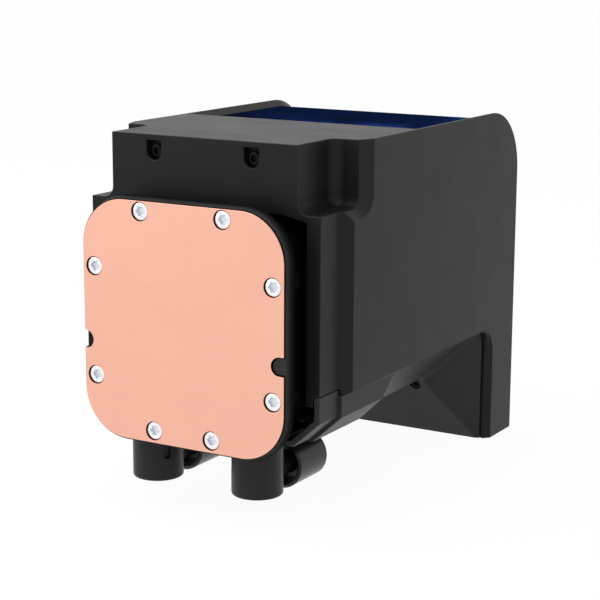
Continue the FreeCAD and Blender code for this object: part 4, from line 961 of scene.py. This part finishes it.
@dataclass(frozen=True)
class ShoulderBand:
    """The flat band along the front edges of the side plates, in place of the solid's round shoulder."""

    plate: float = 37.0 * MM
    step: float = 27.6 * MM
    radius: float = 4.8 * MM
    cove: float = 3.0 * MM
    ledge: float = 29.7 * MM
    front: float = 22.2 * MM
    width: float = 1.8 * MM
    run: float = 4.8 * MM
    drop: float = 2.6 * MM
    facets: int = 11
    snap: float = 0.9
    near: float = 0.02 * MM
    digits: int = 7
    fold: float = math.radians(175.0)
    flat: float = math.radians(0.4)

    def cut(self, mesh: bmesh.types.BMesh) -> None:
        """Squares the shoulder, cuts the band and widens it on the side plate.

        Args:
            mesh: The shell's joined-up mesh, which changes.
        """
        self.square(mesh)
        corner = [
            edge for edge in mesh.edges
            if all(self.is_plate(vert.co, self.near, self.near) for vert in edge.verts)
        ]
        EdgeWork(width=self.width, segments=1).rounded(mesh, corner)
        top = self.ledge + self.cove
        foot = self.step - self.cove
        along = (self.cove + self.run) / (self.cove + self.width)
        down = (self.cove + self.drop) / (self.cove + self.width)
        for vert in mesh.verts:
            if self.is_plate(vert.co, 2 * self.width, 2 * self.width):
                vert.co.y += max(0.0, vert.co.y - foot) * (along - 1.0)
                vert.co.z -= max(0.0, top - vert.co.z) * (down - 1.0)

    def square(self, mesh: bmesh.types.BMesh) -> None:
        """Draws the round shoulder and the cove at its foot out into straight walls.

        Args:
            mesh: The shell's joined-up mesh, which changes.
        """
        rows: dict = {}
        for vert in mesh.verts:
            if self.is_shoulder(vert.co):
                turn, gap = self.turn_and_gap(vert.co)
                key = (vert.co.x > 0.0, *self.row(gap, vert.co.z))
                rows.setdefault(key, []).append((turn, vert))
        for (right, gap, height), found in rows.items():
            last = max(turn for turn, _ in found)
            for turn, vert in found:
                share = max(0.0, turn) / last
                wide = self.plate - (self.radius * (1.0 - share) if share < self.snap else 0.0)
                vert.co = (wide if right else -wide, self.step - gap, height)
        self.join(mesh)

    def join(self, mesh: bmesh.types.BMesh) -> None:
        """Joins up the faces that the squaring has made flat, folded or empty.

        Args:
            mesh: The squared mesh, which changes.
        """
        bmesh.ops.remove_doubles(mesh, verts=mesh.verts, dist=self.near)
        folds = [
            edge for edge in mesh.edges
            if len(edge.link_faces) == 2 and edge.calc_face_angle(0.0) > self.fold
        ]
        bmesh.ops.dissolve_edges(mesh, edges=folds, use_verts=False)
        bmesh.ops.dissolve_limit(mesh, angle_limit=self.flat, verts=mesh.verts, edges=mesh.edges)

    def turn_and_gap(self, spot: Vector) -> tuple[float, float]:
        """Places a point by the round shoulder's axis.

        Args:
            spot: The point.

        Returns:
            Its angle from the shoulder's start, and its distance in front of the wall.
        """
        beside = abs(spot.x) - self.plate + self.radius
        behind = spot.y - self.step - self.radius
        return math.pi / 2 + math.atan2(behind, beside), math.hypot(beside, behind) - self.radius

    def is_shoulder(self, spot: Vector) -> bool:
        """Tells whether a point lies on the round shoulder or on the cove at its foot.

        Args:
            spot: The point.

        Returns:
            Whether it does.
        """
        beside = abs(spot.x) - self.plate + self.radius > -self.near
        ahead = spot.y - self.step - self.radius < self.near
        above = spot.z > self.ledge - self.near
        _, gap = self.turn_and_gap(spot)
        return beside and ahead and above and -self.near < gap < self.cove + self.near

    def row(self, gap: float, height: float) -> tuple[float, float]:
        """Finds the facet line of the cove, or the level of the wall above it, that a point belongs to.

        Args:
            gap: The point's distance in front of the wall.
            height: Its height.

        Returns:
            The line's distance in front of the wall, and its height.
        """
        below = self.ledge + self.cove - height
        if below < self.near:
            return 0.0, round(height, self.digits)
        facet = math.pi / 2 / self.facets
        angle = facet * round(math.atan2(below, self.cove - gap) / facet)
        out = self.cove * (1.0 - math.cos(angle))
        level = self.ledge + self.cove * (1.0 - math.sin(angle))
        return round(out, self.digits), round(level, self.digits)

    def is_plate(self, spot: Vector, behind: float, below: float) -> bool:
        """Tells whether a point lies on a side plate's outside, close to its front edge or the ledge's edge.

        Args:
            spot: The point.
            behind: How far behind the step it may lie.
            below: How far below the ledge it may lie.

        Returns:
            Whether it does.
        """
        outside = abs(abs(spot.x) - self.plate) < self.near
        return outside and self.front < spot.y < self.step + behind and spot.z > self.ledge - below

    def is_border(self, edge: bmesh.types.BMEdge) -> bool:
        """Tells whether an edge is the band's border on the side plate."""
        behind, below = self.run + self.near, self.drop + self.near
        return all(self.is_plate(vert.co, behind, below) for vert in edge.verts)


@dataclass(frozen=True)
class LegEdge:
    """The wide slanted edge down the front of the leg, in place of the solid's narrow one."""

    wall: float = 34.5 * MM
    inner: float = 36.5 * MM
    behind: float = 100.0 * MM
    front: float = 108.5 * MM
    top: float = -16.9 * MM
    bottom: float = -50.6 * MM
    bend: float = 7.0 * MM
    ahead: float = 1.3 * MM
    wider: float = 1.2 * MM
    near: float = 0.02 * MM

    def draw(self, mesh: bmesh.types.BMesh) -> None:
        """Draws the leg's front forward and slants its outer edge, from the bend down to the foot.

        Args:
            mesh: The shell's joined-up mesh, which changes.
        """
        for vert in mesh.verts:
            spot = vert.co
            at_wall = abs(abs(spot.x) - self.wall) < self.near
            at_edge = abs(abs(spot.x) - self.inner) < self.near
            at_front = self.behind < spot.y < self.front + self.near and spot.z < self.top
            if not at_front or not (at_wall or at_edge):
                continue
            share = min(1.0, (self.top - spot.z) / self.bend)
            spot.y -= self.ahead * share
            if at_edge:
                spot.x -= math.copysign(self.wider * share, spot.x)
            if spot.z < self.bottom + self.bend:
                spot.z = self.bottom


@dataclass
class HeadShell(SubAssembly):
    """The moulded housing and the two screws in its front."""

    edge: EdgeWork = EdgeWork(width=0.2 * MM)
    band: ShoulderBand = ShoulderBand()
    leg: LegEdge = LegEdge()
    screw: ScrewShape = ScrewShape(
        1.8 * MM, 1.4 * MM, 1.2 * MM, 0.9 * MM, 0.8 * MM, Drive.HEX
    )
    screw_x: float = 14.6 * MM
    screw_z: float = 42.45 * MM

    def build(self) -> list[bpy.types.Object]:
        """Makes the shell and its screws.

        Returns:
            The shell and the screws.
        """
        spots = [(side.value * self.screw_x, self.screw_z) for side in Side]
        mesh = self.edge.copied(self.frame["nodes"]["main_shell"])
        self.leg.draw(mesh)
        self.band.cut(mesh)
        self.edge.finished(mesh)
        for edge in mesh.edges:
            if self.band.is_border(edge):
                edge.smooth = False
        shell = self.stand_in("main_shell", mesh)
        screws = self.stand_in("shell_screws", self.screw.at("shell_screws", spots))
        return [shell, screws]


@dataclass
class UnderBody(SubAssembly):
    """The tray under the pump, the belly's cover and its screws."""

    tray_edge: EdgeWork = EdgeWork(width=0.2 * MM)
    cover_edge: EdgeWork = EdgeWork(width=0.15 * MM)
    screw: ScrewShape = ScrewShape(
        1.7 * MM, 1.3 * MM, 1.2 * MM, 0.85 * MM, 0.8 * MM, Drive.HEX
    )
    screw_x: float = 18.2 * MM
    screw_z: float = -33.2 * MM

    def build(self) -> list[bpy.types.Object]:
        """Makes the tray, the cover and the cover's screws.

        Returns:
            The tray, the cover and the screws.
        """
        tray = self.eased("lower_tray", self.tray_edge)
        cover = self.eased("under_cover", self.cover_edge)
        spots = [(side.value * self.screw_x, self.screw_z) for side in Side]
        screws = self.stand_in("cover_screws", self.screw.at("cover_screws", spots))
        return [tray, cover, screws]


@dataclass
class RattlePads(SubAssembly):
    """Two dark foam pads between the tray and the pump, put there as painted shade to darken the gap beside
    the pump.
    """

    low: Point = (24.95 * MM, 18.0 * MM, -27.79 * MM)
    high: Point = (27.45 * MM, 19.8 * MM, -23.04 * MM)
    bulge: EdgeWork = EdgeWork(width=0.5 * MM, segments=4)

    def build(self) -> list[bpy.types.Object]:
        """Makes the pads, one on each side.

        Returns:
            The pads, as one piece.
        """
        low, high = Vector(self.low), Vector(self.high)
        middle = (low + high) / 2
        mesh = bmesh.new()
        for side in Side:
            verts = bmesh.ops.create_cube(mesh, size=1.0)["verts"]
            bmesh.ops.scale(mesh, verts=verts, vec=high - low)
            bmesh.ops.translate(mesh, verts=verts, vec=(side.value * middle.x, middle.y, middle.z))
        # Dark rubber blocks that stand in for shade in the gap.
        return [self.shown("rattle_pads", self.bulge.finished(mesh), Slot.RUBBER)]


@dataclass
class DisplayGroup(SubAssembly):
    """The bent display panel."""

    edge: EdgeWork = EdgeWork(width=0.15 * MM)

    def build(self) -> list[bpy.types.Object]:
        """Makes the panel."""
        return [self.eased("display_panel", self.edge)]


@dataclass
class InnerWorks(SubAssembly):
    """The solids that are shown as they are."""

    def build(self) -> list[bpy.types.Object]:
        """Dresses every solid.

        Returns:
            The solids that show.
        """
        solids = list(self.frame["nodes"].items())
        for name, solid in solids:
            self.rack.paint(solid, self.slot_of(name))
        return [solid for _, solid in solids if not solid.hide_render]


@dataclass
class PhotoCamera:
    """The camera of the photograph, as it was worked out from the object's edges."""

    azimuth: float = math.radians(30.263)
    elevation: float = math.radians(12.020)
    roll: float = math.radians(0.274)
    focal_pixels: float = 1721.841
    picture: float = 600.0
    sensor: float = 36.0
    nearest: float = 0.01
    farthest: float = 20.0
    place: Point = (237.510 * MM, -347.986 * MM, 96.872 * MM)

    def build(self) -> bpy.types.Object:
        """Sets the camera up and makes it the scene's own.

        Returns:
            The camera.
        """
        level = math.cos(self.elevation)
        ahead = Vector((
            -math.sin(self.azimuth) * level, math.cos(self.azimuth) * level, -math.sin(self.elevation),
        ))
        right = Vector((math.cos(self.azimuth), math.sin(self.azimuth), 0.0))
        up = right.cross(ahead)
        tilt = Matrix.Rotation(-self.roll, 3, ahead)
        columns = Matrix((tilt @ right, tilt @ up, -ahead)).transposed()
        data = bpy.data.cameras.new("photo_camera")
        data.sensor_fit = "HORIZONTAL"
        data.sensor_width = self.sensor
        data.lens = self.focal_pixels * self.sensor / self.picture
        data.clip_start = self.nearest
        data.clip_end = self.farthest
        camera = bpy.data.objects.new("photo_camera", data)
        camera.matrix_world = Matrix.Translation(self.place) @ columns.to_4x4()
        bpy.context.scene.collection.objects.link(camera)
        bpy.context.scene.camera = camera
        return camera


@dataclass(frozen=True)
class Softbox:
    """A large soft lamp that looks at the object."""

    name: str
    place: Point
    aim: Point
    size: float
    watts: float

    def build(self) -> bpy.types.Object:
        """Hangs the lamp.

        Returns:
            The lamp.
        """
        data = bpy.data.lights.new(self.name, "AREA")
        data.shape = "SQUARE"
        data.size = self.size
        data.energy = self.watts
        lamp = bpy.data.objects.new(self.name, data)
        towards = Vector(self.aim) - Vector(self.place)
        turn = towards.to_track_quat("-Z", "Y")
        lamp.matrix_world = Matrix.Translation(self.place) @ turn.to_matrix().to_4x4()
        bpy.context.scene.collection.objects.link(lamp)
        return lamp


@dataclass
class Studio:
    """A white room: pale floor, even light and two soft lamps."""

    floor_half: float = 60.0
    floor_drop: float = 0.2 * MM
    floor_colour: Colour = (0.94, 0.94, 0.94)
    floor_seen: float = 0.95
    floor_mirrored: float = 1.0
    room_level: float = 0.7
    lamps: list[Softbox] = field(default_factory=lambda: [
        Softbox("overhead_box", (-0.2, -0.15, 0.75), (0.0, 0.05, 0.0), 0.7, 4.4),
        Softbox("side_box", (-0.7, -0.5, 0.35), (0.0, 0.05, 0.0), 0.6, 2.0),
    ])

    def build(self, lowest: float) -> list[bpy.types.Object]:
        """Lights the room and lays the floor.

        Args:
            lowest: Height of the object's lowest point.

        Returns:
            The floor and the lamps.
        """
        self.light_room()
        floor = self.lay_floor(lowest - self.floor_drop)
        return [floor] + [lamp.build() for lamp in self.lamps]

    def seen(self, tree: bpy.types.NodeTree, by_camera: float, mirrored: float) -> bpy.types.NodeSocket:
        """Tells the rays that show the background from the rays that only carry light.

        Args:
            tree: The node tree that asks.
            by_camera: Share for a ray from the camera.
            mirrored: Share for a ray off metal, gloss or glass.

        Returns:
            The ray's share, or 0 for a ray that carries light.
        """
        path = tree.nodes.new("ShaderNodeLightPath")
        shares = {"Is Camera Ray": by_camera, "Is Glossy Ray": mirrored, "Is Transmission Ray": mirrored}
        total = None
        for name, share in shares.items():
            part = tree.nodes.new("ShaderNodeMath")
            part.operation = "MULTIPLY"
            tree.links.new(path.outputs[name], part.inputs[0])
            part.inputs[1].default_value = share
            if total is not None:
                both = tree.nodes.new("ShaderNodeMath")
                both.operation = "MAXIMUM"
                tree.links.new(total, both.inputs[0])
                tree.links.new(part.outputs[0], both.inputs[1])
                part = both
            total = part.outputs[0]
        return total

    def light_room(self) -> None:
        """Makes the surroundings white to look at, and a little dimmer as a light."""
        world = bpy.data.worlds.new("white_room")
        world.use_nodes = True
        tree = world.node_tree
        tree.nodes.clear()
        levels = []
        for level in (self.room_level, 1.0):
            ground = tree.nodes.new("ShaderNodeBackground")
            ground.inputs["Color"].default_value = (1.0, 1.0, 1.0, 1.0)
            ground.inputs["Strength"].default_value = level
            levels.append(ground)
        mix = tree.nodes.new("ShaderNodeMixShader")
        tree.links.new(self.seen(tree, 1.0, 1.0), mix.inputs["Fac"])
        tree.links.new(levels[0].outputs[0], mix.inputs[1])
        tree.links.new(levels[1].outputs[0], mix.inputs[2])
        output = tree.nodes.new("ShaderNodeOutputWorld")
        tree.links.new(mix.outputs[0], output.inputs["Surface"])
        bpy.context.scene.world = world

    def lay_floor(self, height: float) -> bpy.types.Object:
        """Lays the pale floor, which keeps a faint shadow.

        Args:
            height: Where it lies.

        Returns:
            The floor.
        """
        mesh = bmesh.new()
        bmesh.ops.create_grid(mesh, x_segments=1, y_segments=1, size=self.floor_half)
        bmesh.ops.translate(mesh, verts=mesh.verts, vec=(0.0, 0.0, height))
        data = bpy.data.meshes.new("studio_floor")
        mesh.to_mesh(data)
        mesh.free()
        floor = bpy.data.objects.new("studio_floor", data)
        bpy.context.scene.collection.objects.link(floor)
        data.materials.append(self.floor_material())
        floor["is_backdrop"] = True
        return floor

    def floor_material(self) -> bpy.types.Material:
        """Mixes a matt pale floor with a white glow for the rays that show it.

        Returns:
            The material.
        """
        sheet = NodeSheet("studio_floor")
        sheet.shader.inputs["Base Color"].default_value = (*self.floor_colour, 1.0)
        sheet.shader.inputs["Roughness"].default_value = 1.0
        sheet.shader.inputs["Specular IOR Level"].default_value = 0.0
        tree = sheet.tree
        share = self.seen(tree, self.floor_seen, self.floor_mirrored)
        glow = sheet.add("ShaderNodeEmission", {"Color": (1.0, 1.0, 1.0, 1.0), "Strength": 1.0})
        inputs = {0: share, 1: sheet.shader.outputs[0], 2: glow.outputs[0]}
        mix = sheet.add("ShaderNodeMixShader", inputs)
        output = next(node for node in tree.nodes if node.bl_idname == "ShaderNodeOutputMaterial")
        tree.links.new(mix.outputs[0], output.inputs["Surface"])
        return sheet.material


def main() -> None:
    """Builds the head's looks in order and reports each piece."""
    logging.basicConfig(level=logging.INFO, format="%(name)s: %(message)s")
    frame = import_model()
    solid_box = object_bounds()
    PhotoCamera().build()
    rack = FinishRack()
    groups = [
        ColdPlate(frame, rack),
        PumpBody(frame, rack),
        SwivelFitting(frame, rack, "left_swivel", Side.LEFT),
        SwivelFitting(frame, rack, "right_swivel", Side.RIGHT),
        HeadShell(frame, rack),
        UnderBody(frame, rack),
        RattlePads(frame, rack),
        DisplayGroup(frame, rack),
        InnerWorks(frame, rack),
    ]
    for group in groups:
        for piece in group.build():
            LOG.info("%s: %s, %d faces", type(group).__name__, piece.name, len(piece.data.polygons))
    Studio().build(solid_box[0][2])
    bpy.context.scene.view_settings.view_transform = "Standard"


if __name__ == "__main__":
    main()
